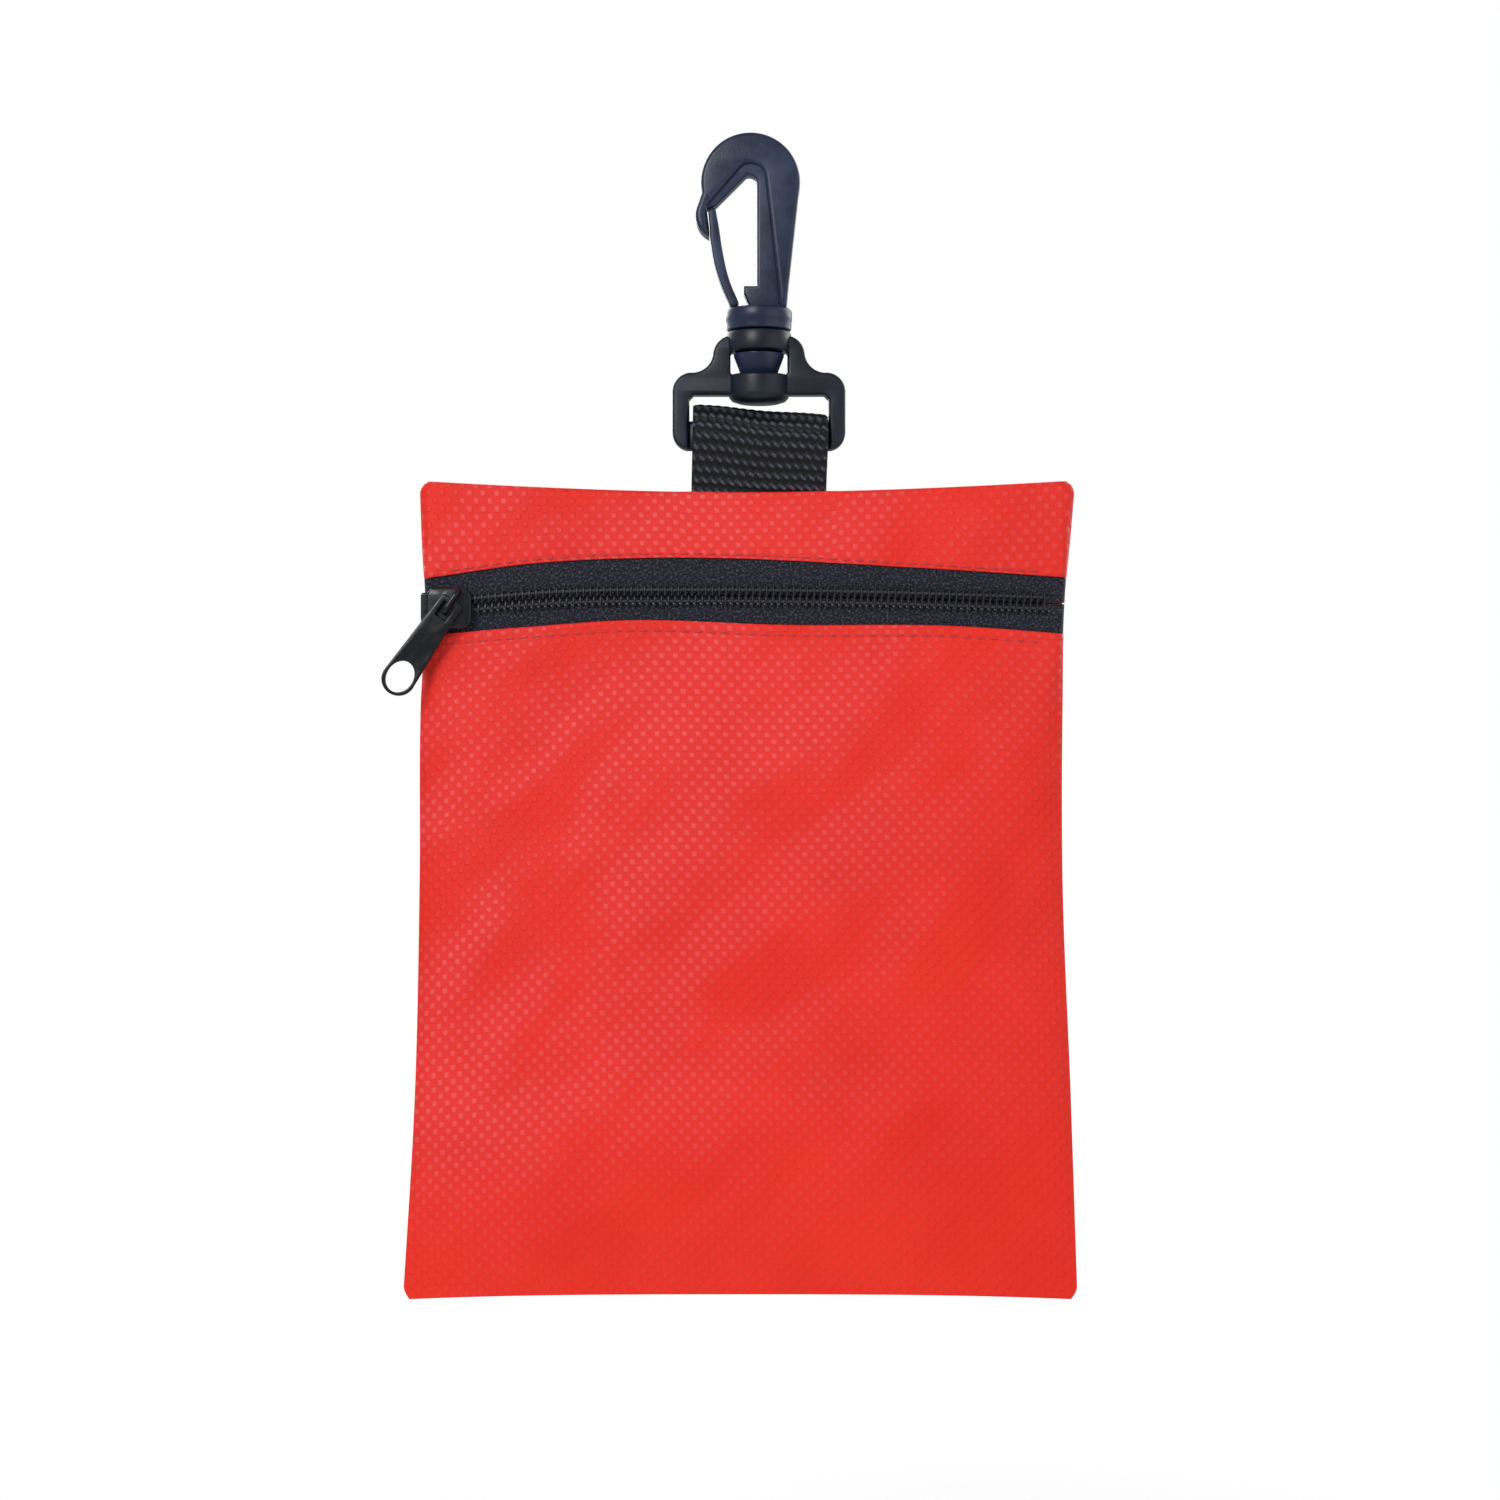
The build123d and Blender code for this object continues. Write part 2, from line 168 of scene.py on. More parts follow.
def new_object(name, points, faces, uv=None):
    """A mesh object from points in millimetres; uv is one pair of millimetres for each point."""
    mesh = bpy.data.meshes.new(name)
    metres = (np.asarray(points, float) * MM).tolist()
    mesh.from_pydata(metres, [], [list(map(int, f)) for f in faces])
    mesh.validate()
    if uv is not None:
        layer = mesh.uv_layers.new(name="cloth")
        corners = np.zeros(len(mesh.loops), np.int32)
        mesh.loops.foreach_get("vertex_index", corners)
        layer.data.foreach_set("uv", np.asarray(uv, np.float32)[corners].ravel())
    obj = in_scene(name, mesh)
    mesh.shade_smooth()
    mesh.set_sharp_from_angle(angle=SOFT_CREASE)
    return obj


def grid_normals(points):
    down = np.gradient(points, axis=0)
    across = np.gradient(points, axis=1)
    normal = np.cross(down, across)
    return normal / np.maximum(np.linalg.norm(normal, axis=2, keepdims=True), 1e-9)


def shell(name, outer, thickness, uv=None, drop=None):
    """A closed thin layer behind a grid of points, whose rows run down and columns run across.
    drop says which of the grid's faces are left out."""
    rows, cols = outer.shape[:2]
    inner = outer - grid_normals(outer) * thickness
    count = rows * cols
    faces = grid_faces(rows, cols)
    if drop is not None:
        faces = faces[~drop.ravel()]
    edges = [np.stack([faces[:, k], faces[:, (k + 1) % 4]], axis=1) for k in range(4)]
    edges = np.concatenate(edges)
    one_way = edges[:, 0] * count + edges[:, 1]
    border = edges[~np.isin(one_way, edges[:, 1] * count + edges[:, 0])]
    rim = np.stack([border[:, 1], border[:, 0], border[:, 0] + count, border[:, 1] + count], axis=1)
    faces = np.concatenate([faces, faces[:, ::-1] + count, rim])
    used, faces = np.unique(faces, return_inverse=True)
    points = np.concatenate([outer.reshape(-1, 3), inner.reshape(-1, 3)])[used]
    if uv is None:
        uv = cloth_uv(outer)
    uv = np.concatenate([uv.reshape(-1, 2)] * 2)[used]
    return new_object(name, points, faces.reshape(-1, 4), uv)


def cloth_uv(points):
    """Millimetres across and down the cloth, so that its pattern goes round every fold."""
    down = np.linalg.norm(np.diff(points, axis=0), axis=2)
    down = np.concatenate([np.zeros((1, points.shape[1])), np.cumsum(down, axis=0)])
    across = np.linalg.norm(np.diff(points, axis=1), axis=2)
    across = np.concatenate([np.zeros((points.shape[0], 1)), np.cumsum(across, axis=1)], axis=1)
    middle = points.shape[1] // 2
    across = across - across[:, middle, None] + points[:, middle, 0, None]
    down = np.broadcast_to(down[:, middle, None], down.shape) * 0.5 + down * 0.5
    return np.stack([across, -down], axis=-1)


def slab(outlines, thickness, bevel, y=0.0, rounds=3):
    """Points and faces of a flat plate across Y with rounded edges, from closed outlines in X
    and Z: the outer edge first, then any holes."""
    data = bpy.data.curves.new("outline", "CURVE")
    data.dimensions, data.fill_mode = "2D", "BOTH"
    data.extrude = (thickness / 2 - bevel) * MM
    data.bevel_depth, data.bevel_resolution, data.offset = bevel * MM, rounds, -bevel * MM
    for outline in outlines:
        spline = data.splines.new("POLY")
        spline.points.add(len(outline) - 1)
        for point, (x, z) in zip(spline.points, outline):
            point.co = (x * MM, z * MM, 0, 1)
        spline.use_cyclic_u = True
    obj = in_scene("outline", data)
    bpy.context.view_layer.update()
    shown = obj.evaluated_get(bpy.context.evaluated_depsgraph_get())
    mesh = bpy.data.meshes.new_from_object(shown)
    points = np.array([(v.co.x, -v.co.z, v.co.y) for v in mesh.vertices]) / MM + (0, y, 0)
    faces = [tuple(p.vertices) for p in mesh.polygons]
    bpy.data.objects.remove(obj)
    bpy.data.curves.remove(data)
    return points, faces


def ring_faces(rings, sides, closed=False):
    """The quads between neighbouring rings of points."""
    faces = []
    for i in range(rings if closed else rings - 1):
        a, b = i * sides, (i + 1) % rings * sides
        for k in range(sides):
            after = (k + 1) % sides
            faces.append((a + k, a + after, b + after, b + k))
    return faces


def turned(profile, segments, closed=False):
    """Points and faces of a shape turned about the swivel's axis, from (radius, z) pairs.
    An open profile starts and ends on the axis; a closed one goes round a ring."""
    profile = np.array(profile, float)
    turns = np.linspace(0, 2 * math.pi, segments, endpoint=False)
    ring = np.stack([np.cos(turns), np.sin(turns)], axis=1)
    points = [(SWIVEL_X + r * c, r * s, z) for r, z in profile for c, s in ring]
    return np.array(points), ring_faces(len(profile), segments, closed)


def joined(parts):
    """Several (points, faces) as one."""
    points, faces, first = [], [], 0
    for p, f in parts:
        points.append(np.asarray(p, float))
        faces += [tuple(int(i) + first for i in face) for face in f]
        first += len(p)
    return np.concatenate(points), faces


def cleaned(obj):
    """Welds doubled points, drops faces with no area and turns every face outward."""
    bm = bmesh.new()
    bm.from_mesh(obj.data)
    bmesh.ops.remove_doubles(bm, verts=bm.verts, dist=WELD)
    bmesh.ops.dissolve_degenerate(bm, edges=bm.edges, dist=WELD)
    bmesh.ops.recalc_face_normals(bm, faces=bm.faces)
    bm.to_mesh(obj.data)
    bm.free()
    obj.data.shade_smooth()
    obj.data.set_sharp_from_angle(angle=HARD_CREASE)
    return obj


def tube(path, radius, sides):
    """Points and faces of a round bar along a list of points, closed at both ends."""
    path = np.array(path, float)
    along = np.gradient(path, axis=0)
    along /= np.linalg.norm(along, axis=1, keepdims=True)
    side = np.cross(along, (0.02, 1, 0.03))
    side /= np.linalg.norm(side, axis=1, keepdims=True)
    up = np.cross(side, along)
    turns = np.linspace(0, 2 * math.pi, sides, endpoint=False)
    radius = np.broadcast_to(radius, len(path))
    out = (np.cos(turns)[None, :, None] * side[:, None]
           + np.sin(turns)[None, :, None] * up[:, None])
    points = (path[:, None] + radius[:, None, None] * out).reshape(-1, 3)
    faces = ring_faces(len(path), sides)
    faces.append(tuple(range(sides))[::-1])
    faces.append(tuple(range(len(points) - sides, len(points))))
    return points, faces


def finish_piece(obj, body, slot, material, *nodes):
    """Colours a piece, and says what it rides on and which CAD nodes it stands for."""
    obj.data.materials.clear()
    obj.data.materials.append(material)
    if nodes:
        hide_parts(*nodes)
    if body:
        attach(obj, body)
    return obj


# ---- Materials ----

def srgb(r, g, b):
    """A shader colour from everyday red, green and blue of 0 to 255."""
    shares = [c / 255 for c in (r, g, b)]
    linear = [s / 12.92 if s <= 10 / 255 else ((s + 0.055) / 1.055) ** 2.4 for s in shares]
    return (*linear, 1.0)


class Graph:
    """A material and short calls for the nodes that colour it."""

    def __init__(self, name, roughness=0.5, **sockets):
        self.material = bpy.data.materials.new(name)
        self.material.use_nodes = True
        self.tree = self.material.node_tree
        self.shader = self.tree.nodes["Principled BSDF"]
        self.shader.inputs["Roughness"].default_value = roughness
        for socket, value in sockets.items():
            self.shader.inputs[socket.replace("_", " ")].default_value = value

    def add(self, kind, inputs=(), **settings):
        node = self.tree.nodes.new("ShaderNode" + kind)
        for setting, value in settings.items():
            setattr(node, setting, value)
        for key, value in dict(inputs).items():
            self.put(node.inputs[key], value)
        return node

    def put(self, socket, value):
        if isinstance(value, bpy.types.NodeSocket):
            self.tree.links.new(value, socket)
        else:
            socket.default_value = value

    def math(self, operation, a, b=0.0):
        return self.add("Math", {0: a, 1: b}, operation=operation).outputs[0]

    def cloth_place(self):
        """Millimetres across and along the piece."""
        uv = self.add("UVMap", uv_map="cloth").outputs[0]
        apart = self.add("SeparateXYZ", {0: uv})
        return uv, apart.outputs[0], apart.outputs[1]

    def solid_place(self):
        """Millimetres in the object's own space, for pieces that never change shape."""
        values = {0: self.add("TexCoord").outputs["Object"], 1: (1000, 1000, 1000)}
        return self.add("VectorMath", values, operation="MULTIPLY").outputs[0]

    def leaning(self, place, lean):
        """Turns a place about Z, so that a pattern stretched along one axis runs on a slant."""
        turn = {"Vector": place, "Angle": lean}
        return self.add("VectorRotate", turn, rotation_type="Z_AXIS").outputs[0]

    def noise(self, place, size, detail=2.0, rough=0.5, stretch=(1, 1, 1)):
        """Noise from 0 to 1 whose blobs are about size millimetres across."""
        sized = {0: place, 1: [s / size for s in stretch]}
        scaled = self.add("VectorMath", sized, operation="MULTIPLY")
        values = {"Vector": scaled.outputs[0], "Scale": 1.0, "Detail": detail, "Roughness": rough}
        return self.add("TexNoise", values).outputs["Fac"]

    def wave(self, place, pitch):
        return self.math("COSINE", self.math("MULTIPLY", place, 2 * math.pi / pitch))

    def fit(self, value, low, high, to_low=0.0, to_high=1.0):
        values = {"Value": value, "From Min": low, "From Max": high}
        values.update({"To Min": to_low, "To Max": to_high})
        return self.add("MapRange", values, interpolation_type="SMOOTHSTEP").outputs[0]

    def mix(self, share, a, b):
        node = self.add("Mix", data_type="RGBA")
        for socket, value in zip((node.inputs[0], node.inputs[6], node.inputs[7]), (share, a, b)):
            self.put(socket, value)
        return node.outputs[2]

    def colour(self, value):
        self.put(self.shader.inputs["Base Color"], value)

    def rough(self, value):
        self.put(self.shader.inputs["Roughness"], value)

    def bump(self, *layers):
        """Relief from (height socket, millimetres) pairs."""
        normal = None
        for height, depth_mm in layers:
            node = self.add("Bump", {"Height": height, "Distance": depth_mm * MM, "Strength": 1.0})
            if normal is not None:
                self.put(node.inputs["Normal"], normal)
            normal = node.outputs[0]
        self.put(self.shader.inputs["Normal"], normal)


DOT_PITCH, DOT_TILT = (2.46, 2.53), 0.027  # across and down the cloth; its rows rise a little
SHEEN_STREAK_LEAN = 0.75  # radians: the painted sheen streaks run on a slant
SHEEN_FADE_SLOPE = (0.0087, 0.005)  # the painted sheen on the dots fades towards the lower right corner
SHEEN_FADE_LOW, SHEEN_FADE_HIGH = -122, -84  # and towards the bottom seam


def red_cloth():
    """Spun-bonded cloth embossed with a staggered grid of small fused dots, with painted sheen
    streaks and painted highlights on the dots.
    """
    g = Graph("red_cloth", 0.5, Specular_IOR_Level=0.32, Sheen_Weight=0.03, Sheen_Roughness=0.4)
    uv, across, along = g.cloth_place()
    tilted = g.math("ADD", across, g.math("MULTIPLY", along, DOT_TILT))
    raised = g.math("SUBTRACT", along, g.math("MULTIPLY", across, DOT_TILT))
    crossed = g.math("MULTIPLY", g.wave(tilted, DOT_PITCH[0]), g.wave(raised, DOT_PITCH[1]))
    dots = g.fit(crossed, -0.02, 0.72)
    fibres = g.noise(uv, 0.16, 3, 0.6, (1, 2.2, 1))
    patches = g.noise(uv, 26, 3, 0.55)
    streaks = g.noise(g.leaning(uv, SHEEN_STREAK_LEAN), 24, 2, 0.5, (1.7, 0.6, 1))
    body = g.mix(g.fit(patches, 0.3, 0.7), srgb(234, 34, 9), srgb(244, 40, 17))
    body = g.mix(g.fit(fibres, 0.35, 0.75, 0, 0.35), body, srgb(208, 27, 12))
    # Painted sheen: the lighter, shinier dots fade towards the lower right corner and towards the
    # bottom seam.
    towards_corner = g.math("SUBTRACT", g.math("MULTIPLY", across, SHEEN_FADE_SLOPE[0]),
                            g.math("MULTIPLY", along, SHEEN_FADE_SLOPE[1]))
    sheen_fade = g.fit(towards_corner, -0.2, 0.95, 1, 0.15)
    sheen_fade = g.math("MULTIPLY", sheen_fade, g.fit(along, SHEEN_FADE_LOW, SHEEN_FADE_HIGH, 0.15, 1))
    # Painted sheen: slanting streaks where the cloth is pinker and its dots paler, standing in for
    # light caught by soft undulations.
    sheen_streaks = g.math("MULTIPLY", g.fit(streaks, 0.36, 0.62, 0.12, 1), sheen_fade)
    shine = g.math("MULTIPLY", dots, sheen_streaks)
    # Painted sheen: a pinker colour along the streaks.
    body = g.mix(g.math("MULTIPLY", sheen_streaks, 0.34), body, srgb(243, 62, 74))
    # Painted highlight: the dots are paler inside the sheen streaks.
    g.colour(g.mix(g.math("MULTIPLY", shine, 0.55), body, srgb(250, 100, 96)))
    g.rough(g.fit(shine, 0, 1, 0.58, 0.3))
    g.bump((dots, 0.12), (fibres, 0.03))
    return g.material


def zip_tape():
    """Close black twill."""
    g = Graph("zip_tape", 0.72, Specular_IOR_Level=0.25, Sheen_Weight=0.04, Sheen_Roughness=0.5)
    uv, across, along = g.cloth_place()
    slant = g.math("ADD", across, g.math("MULTIPLY", along, 1.3))
    twill = g.wave(slant, 0.62)
    yarn = g.wave(along, 0.42)
    weave = g.fit(g.math("ADD", twill, g.math("MULTIPLY", yarn, 0.6)), -1.2, 1.4)
    grain = g.noise(uv, 0.42, 3, 0.7)
    base = g.mix(weave, srgb(6, 7, 13), srgb(26, 27, 38))
    g.colour(g.mix(g.fit(grain, 0.49, 0.63, 0, 0.85), base, srgb(76, 78, 98)))
    g.rough(g.fit(grain, 0.2, 0.8, 0.62, 0.82))
    g.bump((weave, 0.07), (grain, 0.03))
    return g.material


def thread(name, dark, light):
    """Twisted sewing thread."""
    g = Graph(name, 0.55, Sheen_Weight=0.2)
    _, across, along = g.cloth_place()
    twist = g.wave(g.math("ADD", across, g.math("MULTIPLY", along, 0.8)), 0.32)
    g.colour(g.mix(g.fit(twist, -1, 1), dark, light))
    g.bump((twist, 0.03))
    return g.material


def zip_coil():
    """Extruded nylon, nearly black, with a dull shine."""
    g = Graph("zip_coil", 0.3, Specular_IOR_Level=0.6)
    uv = g.cloth_place()[0]
    wear = g.noise(uv, 2.6, 2, 0.6)
    g.colour(g.mix(g.fit(wear, 0.35, 0.7), srgb(12, 12, 17), srgb(44, 45, 54)))
    g.rough(g.fit(wear, 0.3, 0.7, 0.24, 0.42))
    g.bump((g.noise(uv, 0.2, 2), 0.01))
    return g.material


def webbing():
    """Heavy black webbing whose picks show as rows of small slanting painted glints."""
    g = Graph("webbing", 0.5, Specular_IOR_Level=0.3, Sheen_Weight=0.04, Sheen_Roughness=0.4)
    uv, across, along = g.cloth_place()
    fibre = g.noise(uv, 0.2, 3, 0.6, (1, 0.35, 1))
    yarns = web_pattern(g, across, along)
    base = g.mix(yarns, srgb(3, 5, 10), srgb(17, 20, 30))
    # Painted highlight: the crests of the yarns are lightened into glints.
    glint = g.math("MULTIPLY", g.fit(yarns, 0.72, 0.98), g.fit(fibre, 0.4, 0.7, 0.2, 1))
    g.colour(g.mix(g.math("MULTIPLY", glint, 0.8), base, srgb(104, 106, 118)))
    g.rough(g.fit(fibre, 0.3, 0.7, 0.4, 0.62))
    g.bump((yarns, 0.12), (fibre, 0.04))
    return g.material


WEB_ROW, WEB_YARN = 1.95, 1.55  # pitch of the webbing's rows, and of the glints along a row


def web_pattern(g, across, along):
    """The weave, from 0 to 1, as web_relief shapes it."""
    slanted = g.math("ADD", across, g.math("MULTIPLY", along, 0.55))
    rows = g.wave(along, WEB_ROW)
    dashes = g.wave(slanted, WEB_YARN)
    return g.fit(g.math("ADD", rows, g.math("MULTIPLY", dashes, 0.75)), -1.2, 1.6)


def moulded(name, dark, light, roughness):
    """Injection-moulded plastic with fine spark-eroded grain, paler where it has been handled."""
    g = Graph(name, roughness, Specular_IOR_Level=0.36, Coat_Weight=0.1, Coat_Roughness=0.25)
    place = g.solid_place()
    rub = g.noise(place, 9, 4, 0.6)
    speck = g.noise(place, 0.35, 2, 0.6)
    g.colour(g.mix(g.fit(rub, 0.35, 0.68), dark, light))
    handled = g.math("ADD", rub, g.math("MULTIPLY", speck, 0.3))
    g.rough(g.fit(handled, 0.4, 0.9, roughness - 0.07, roughness + 0.09))
    g.bump((speck, 0.02), (g.noise(place, 4.5, 2, 0.5), 0.06))
    return g.material


def lacquered():
    """Black lacquer on die-cast metal."""
    g = Graph("slider_metal", 0.3, Specular_IOR_Level=0.3, Coat_Weight=0.25, Coat_Roughness=0.08)
    place = g.solid_place()
    wear = g.noise(place, 2.2, 4, 0.6)
    g.colour(g.mix(g.fit(wear, 0.42, 0.75), srgb(2, 4, 8), srgb(9, 12, 20)))
    g.rough(g.fit(wear, 0.3, 0.75, 0.2, 0.4))
    g.bump((g.noise(place, 0.5, 3, 0.6), 0.012), (g.noise(place, 2.5, 2), 0.05))
    return g.material


def sheet_material(name, ground, mark, roughness, crinkle, **sockets):
    """Paper, film or foil: faint fibres and soft crinkles."""
    g = Graph(name, roughness, **sockets)
    uv = g.cloth_place()[0]
    fibre = g.noise(uv, 0.5, 4, 0.65)
    crease = g.noise(uv, 7, 3, 0.55, (1.4, 1, 1))
    g.colour(g.mix(g.fit(fibre, 0.35, 0.75, 0, 0.6), ground, mark))
    g.rough(g.fit(crease, 0.3, 0.7, roughness - 0.08, roughness + 0.08))
    g.bump((crease, crinkle), (fibre, 0.01))
    return g.material


RED_CLOTH = red_cloth()
ZIP_TAPE = zip_tape()
RED_THREAD = thread("red_thread", srgb(150, 14, 14), srgb(196, 28, 24))
BLACK_THREAD = thread("black_thread", srgb(16, 16, 20), srgb(44, 44, 52))
ZIP_COIL = zip_coil()
WEBBING = webbing()
HOOK_PLASTIC = moulded("hook_plastic", srgb(23, 33, 56), srgb(41, 54, 82), 0.38)
BASE_PLASTIC = moulded("base_plastic", srgb(6, 12, 25), srgb(17, 26, 44), 0.44)
SLIDER_METAL = lacquered()
PAPER = sheet_material("paper", srgb(238, 236, 228), srgb(222, 220, 212), 0.62, 0.06)
SACHET_WHITE = sheet_material("sachet_white", srgb(236, 240, 242), srgb(214, 224, 230), 0.42, 0.25)
SACHET_FOIL = sheet_material("sachet_foil", srgb(206, 210, 214), srgb(180, 186, 192), 0.3, 0.4,
                             Metallic=0.7)


# ---- The pouch's cloth ----

# Knots of the pouch's lines: X at a height Z for its sides, Z at an X for the zip's band and coil.
LEFT_EDGE = [(-54, -59.4), (-66, -58.9), (-76, -58.3), (-95, -59.2), (-125, -59.4),
             (-165, -60.3), (-201, -62.4)]
RIGHT_EDGE = [(-54, 58.5), (-64, 57.6), (-74, 56.6), (-95, 56.2), (-125, 56.2),
              (-165, 57.7), (-201, 58.9)]
BAND_TOP = [(-58, -72.0), (-40, -69.4), (-18, -68.3), (29, -70.0), (57, -71.8)]
BAND_LOW = [(-58, -82.1), (-40, -80.6), (-22, -79.4), (5, -80.2), (38, -80.5), (57, -81.9)]
COIL_LINE = [(-54, -76.9), (-35, -75.4), (-9, -75.0), (22, -75.4), (54, -76.4)]
# Knots of its fullness at each height, and of how far in from the sides it rounds off.
FRONT_DEPTH = [(-54, 1.9), (-63, 2.8), (-72, 3.0), (-88, 3.05), (-112, 4.7), (-145, 5.2),
               (-201, 5.0)]
BACK_DEPTH = [(-54, 1.9), (-63, 2.7), (-88, 3.0), (-112, 3.9), (-150, 4.3), (-201, 4.3)]
CORNER_RUN = [(-54, 2.8), (-88, 3.2), (-114, 24.0), (-150, 33.0), (-201, 36.0)]
STRIP_STITCH, PANEL_STITCH = 0.7, -1.9  # rows of topstitching, from the cloth's folded edges
SEAM_GAP = 0.05  # half the gap between the two cloths in a seam
ALLOWANCE = 4.0  # cloth turned in at a seam
SPLIT_X = -5.0  # the widest point of the open mouth
ROLL = 0.72  # how far the cloth stands out right beside a side seam
ZIP_Z, ZIP_CALM = -76, 10  # the cloth lies flatter this near the zip
WAVE_DEPTH, WAVE_FINE, SLANT_DEPTH = 0.42, 0.16, 0.36
SIDE_PUCKER, LOW_PUCKER = 0.20, 0.22
DIMPLE = 0.14  # how deep a row of stitches sinks into the cloth
FRONT_SEED, BACK_SEED = 11, 51


def top_edge(x):
    """Height of the top seam, which sags where the webbing is sewn in."""
    return -56.4 + 2.1 * np.abs((x + 1) / 58) ** 1.7


def bottom_edge(x):
    """Height of the bottom seam."""
    return -200.2 - 0.9 * np.abs((x + 1.7) / 60) ** 3


def outline(s, z):
    """X at each share s of the half width, from -1 to 1, and the half width there."""
    left, right = curve(z, LEFT_EDGE), curve(z, RIGHT_EDGE)
    round_off = 1.5 * np.clip(1 - (-54.3 - z) / 2.4, 0, 1) ** 2
    cut_corner = 1.1 * np.clip((-199.1 - z) / 2.0, 0, 1) ** 1.5
    half = (right - left) / 2 - round_off - cut_corner
    return (left + right) / 2 + s * half, half


def crown(s, z, x, half, depths, seed):
    """How far the cloth stands from the middle plane: rounded at the sides, a wedge towards the
    bottom seam, with soft waves and the puckers that a seam leaves."""
    above = np.clip(z - bottom_edge(x), 0, None)
    below = np.clip(top_edge(x) - z, 0, None)
    full = curve(z, depths) * (1 - 0.92 * np.exp(-(above + 0.2) / 13))
    run = np.minimum(curve(z, CORNER_RUN), half * 0.98)
    over = np.clip((np.abs(s) * half - (half - run)) / run, 0, 1)
    full = full * np.sqrt(np.clip(1 - over ** 2.2, 0, 1))
    from_side = (1 - np.abs(s)) * half
    at_zip = 1 - 0.92 * np.exp(-((z - ZIP_Z) / ZIP_CALM) ** 2)
    calm = step(from_side, 1.0, 14) * step(above, 2, 22) * step(below, 1, 7) * at_zip
    waves = WAVE_DEPTH * ripple(x, z * 0.8, 34, seed) + WAVE_FINE * ripple(x, z, 13, seed + 1)
    slant, slant_across = x * 0.8 + z * 0.6, (z * 0.8 - x * 0.6) * 0.16
    slanting = SLANT_DEPTH * ripple(slant, slant_across, 17, seed + 2)
    side = SIDE_PUCKER * np.exp(-from_side / 4.5) * ripple(z, 0, 8.5, seed + 3)
    side = side * step(from_side, 0.4, 2)
    low = LOW_PUCKER * np.exp(-above / 6) * ripple(x, 0, 10, seed + 4) * step(above, 0.5, 3)
    return full + calm * (waves + slanting) + (side + low) * step(full, 0.3, 1.5)


def stitched(x, from_row, seed):
    """Dimples and short waves beside a row of topstitching, from_row millimetres away."""
    depth = 0.75 + 0.25 * np.cos(2 * math.pi * x / STITCH_PITCH)
    dimple = -DIMPLE * np.exp(-(from_row / 0.8) ** 2) * depth
    return dimple + DIMPLE * np.exp(-np.abs(from_row) / 5) * ripple(x, 0, 7.5, seed)


def front_depth(s, z, x, half):
    """How far the front stands from the middle plane."""
    stands = crown(s, z, x, half, FRONT_DEPTH, FRONT_SEED)
    inner = step(-np.abs(s), -1.0, -0.93)
    stands = stands + stitched(x, z - curve(x, BAND_TOP) - STRIP_STITCH, 21) * inner
    return stands + stitched(x, z - curve(x, BAND_LOW) - PANEL_STITCH, 22) * inner


def back_depth(s, z, x, half):
    """How far the back stands from the middle plane."""
    return crown(s, z, x, half, BACK_DEPTH, BACK_SEED)


def lay(s, rows, depth_of, side):
    """A grid of points down the cloth. Each row is (a function from X to its height, how far it
    is set in); side is -1 for the front, 1 for the back."""
    grid = []
    for height, inset in rows:
        x, half = outline(s, np.full_like(s, -100.0))
        for _ in range(3):
            x, half = outline(s, height(x))
        z = height(x)
        from_side = np.clip((1 - np.abs(s)) * half / 0.7, 0, 1)
        rolled = ROLL * np.sqrt(1 - (1 - from_side) ** 2)
        stands = np.maximum(depth_of(s, z, x, half), rolled)
        stands = np.maximum(stands - inset, SEAM_GAP)
        x = x - np.sign(s) * inset * step(np.abs(s), 0.97, 1.0)
        grid.append(np.stack([x, side * stands, z], axis=-1))
    return np.array(grid)


def with_sides(grid):
    """Turns the cloth in at both side seams, which leaves the groove that such a seam has."""
    sides = []
    for column, inward in ((grid[:, 0], 1), (grid[:, -1], -1)):
        inward *= np.sign(grid[0, -1, 0] - grid[0, 0, 0])
        turned_in = np.repeat(column[None], 3, axis=0)
        height = column[:, 2]
        share = (height - height.min()) / np.ptp(height)
        for k, distance in enumerate((0.35, 1.2, ALLOWANCE)):
            turned_in[k, :, 0] += inward * distance
            x = turned_in[k, :, 0]
            turned_in[k, :, 2] += share * (top_edge(x) - top_edge(column[:, 0]) - 0.3)
            turned_in[k, :, 2] += (1 - share) * (bottom_edge(x) - bottom_edge(column[:, 0]) + 0.3)
        sides.append(turned_in.transpose(1, 0, 2))
    grid[:, 1, 0] += (grid[:, 0, 0] - grid[:, 1, 0]) * 0.4
    grid[:, -2, 0] += (grid[:, -1, 0] - grid[:, -2, 0]) * 0.4
    return np.concatenate([sides[0][:, ::-1], grid[:, 1:-1], sides[1]], axis=1)


def hem(edge, side):
    """Rows round the folded edge beside the zip, from inside out; side is 1 for the strip above
    the zip, -1 for the front below it."""
    rounded = [(HEM_DEPTH, 0.58), (1.4, 0.58), (0.25, 0.56)]
    rounded += [(0.07, 0.48), (0.0, 0.30), (0.07, 0.12), (0.22, 0.03)]
    return [((lambda x, off=off: curve(x, edge) + side * off), inset) for off, inset in rounded]


def between(upper, lower, count):
    """Rows spread evenly from one edge to another."""
    shares = np.linspace(0, 1, count)
    return [((lambda x, t=t: upper(x) + (lower(x) - upper(x)) * t), 0.0) for t in shares]


def turned_bottom(grid, side):
    """Turns the cloth in at the bottom seam."""
    last = grid[-1]
    rows = []
    for up, stands in ((0.0, 0.5), (0.35, 0.0), (1.3, 0.0), (ALLOWANCE, 0.0)):
        row = last.copy()
        row[:, 1] = side * (SEAM_GAP + (np.abs(last[:, 1]) - SEAM_GAP) * stands)
        row[:, 2] = last[:, 2] + up - 0.12 * (up == 0)
        rows.append(row)
    return np.concatenate([grid, rows])


def seam_fill(x):
    """1 where the webbing fills the top seam, 0 elsewhere."""
    from_left, from_right = x - WEB_LOW.x, WEB_HIGH.x - x
    return step(from_left, -3, -0.4) * step(from_right, -3, -0.4)


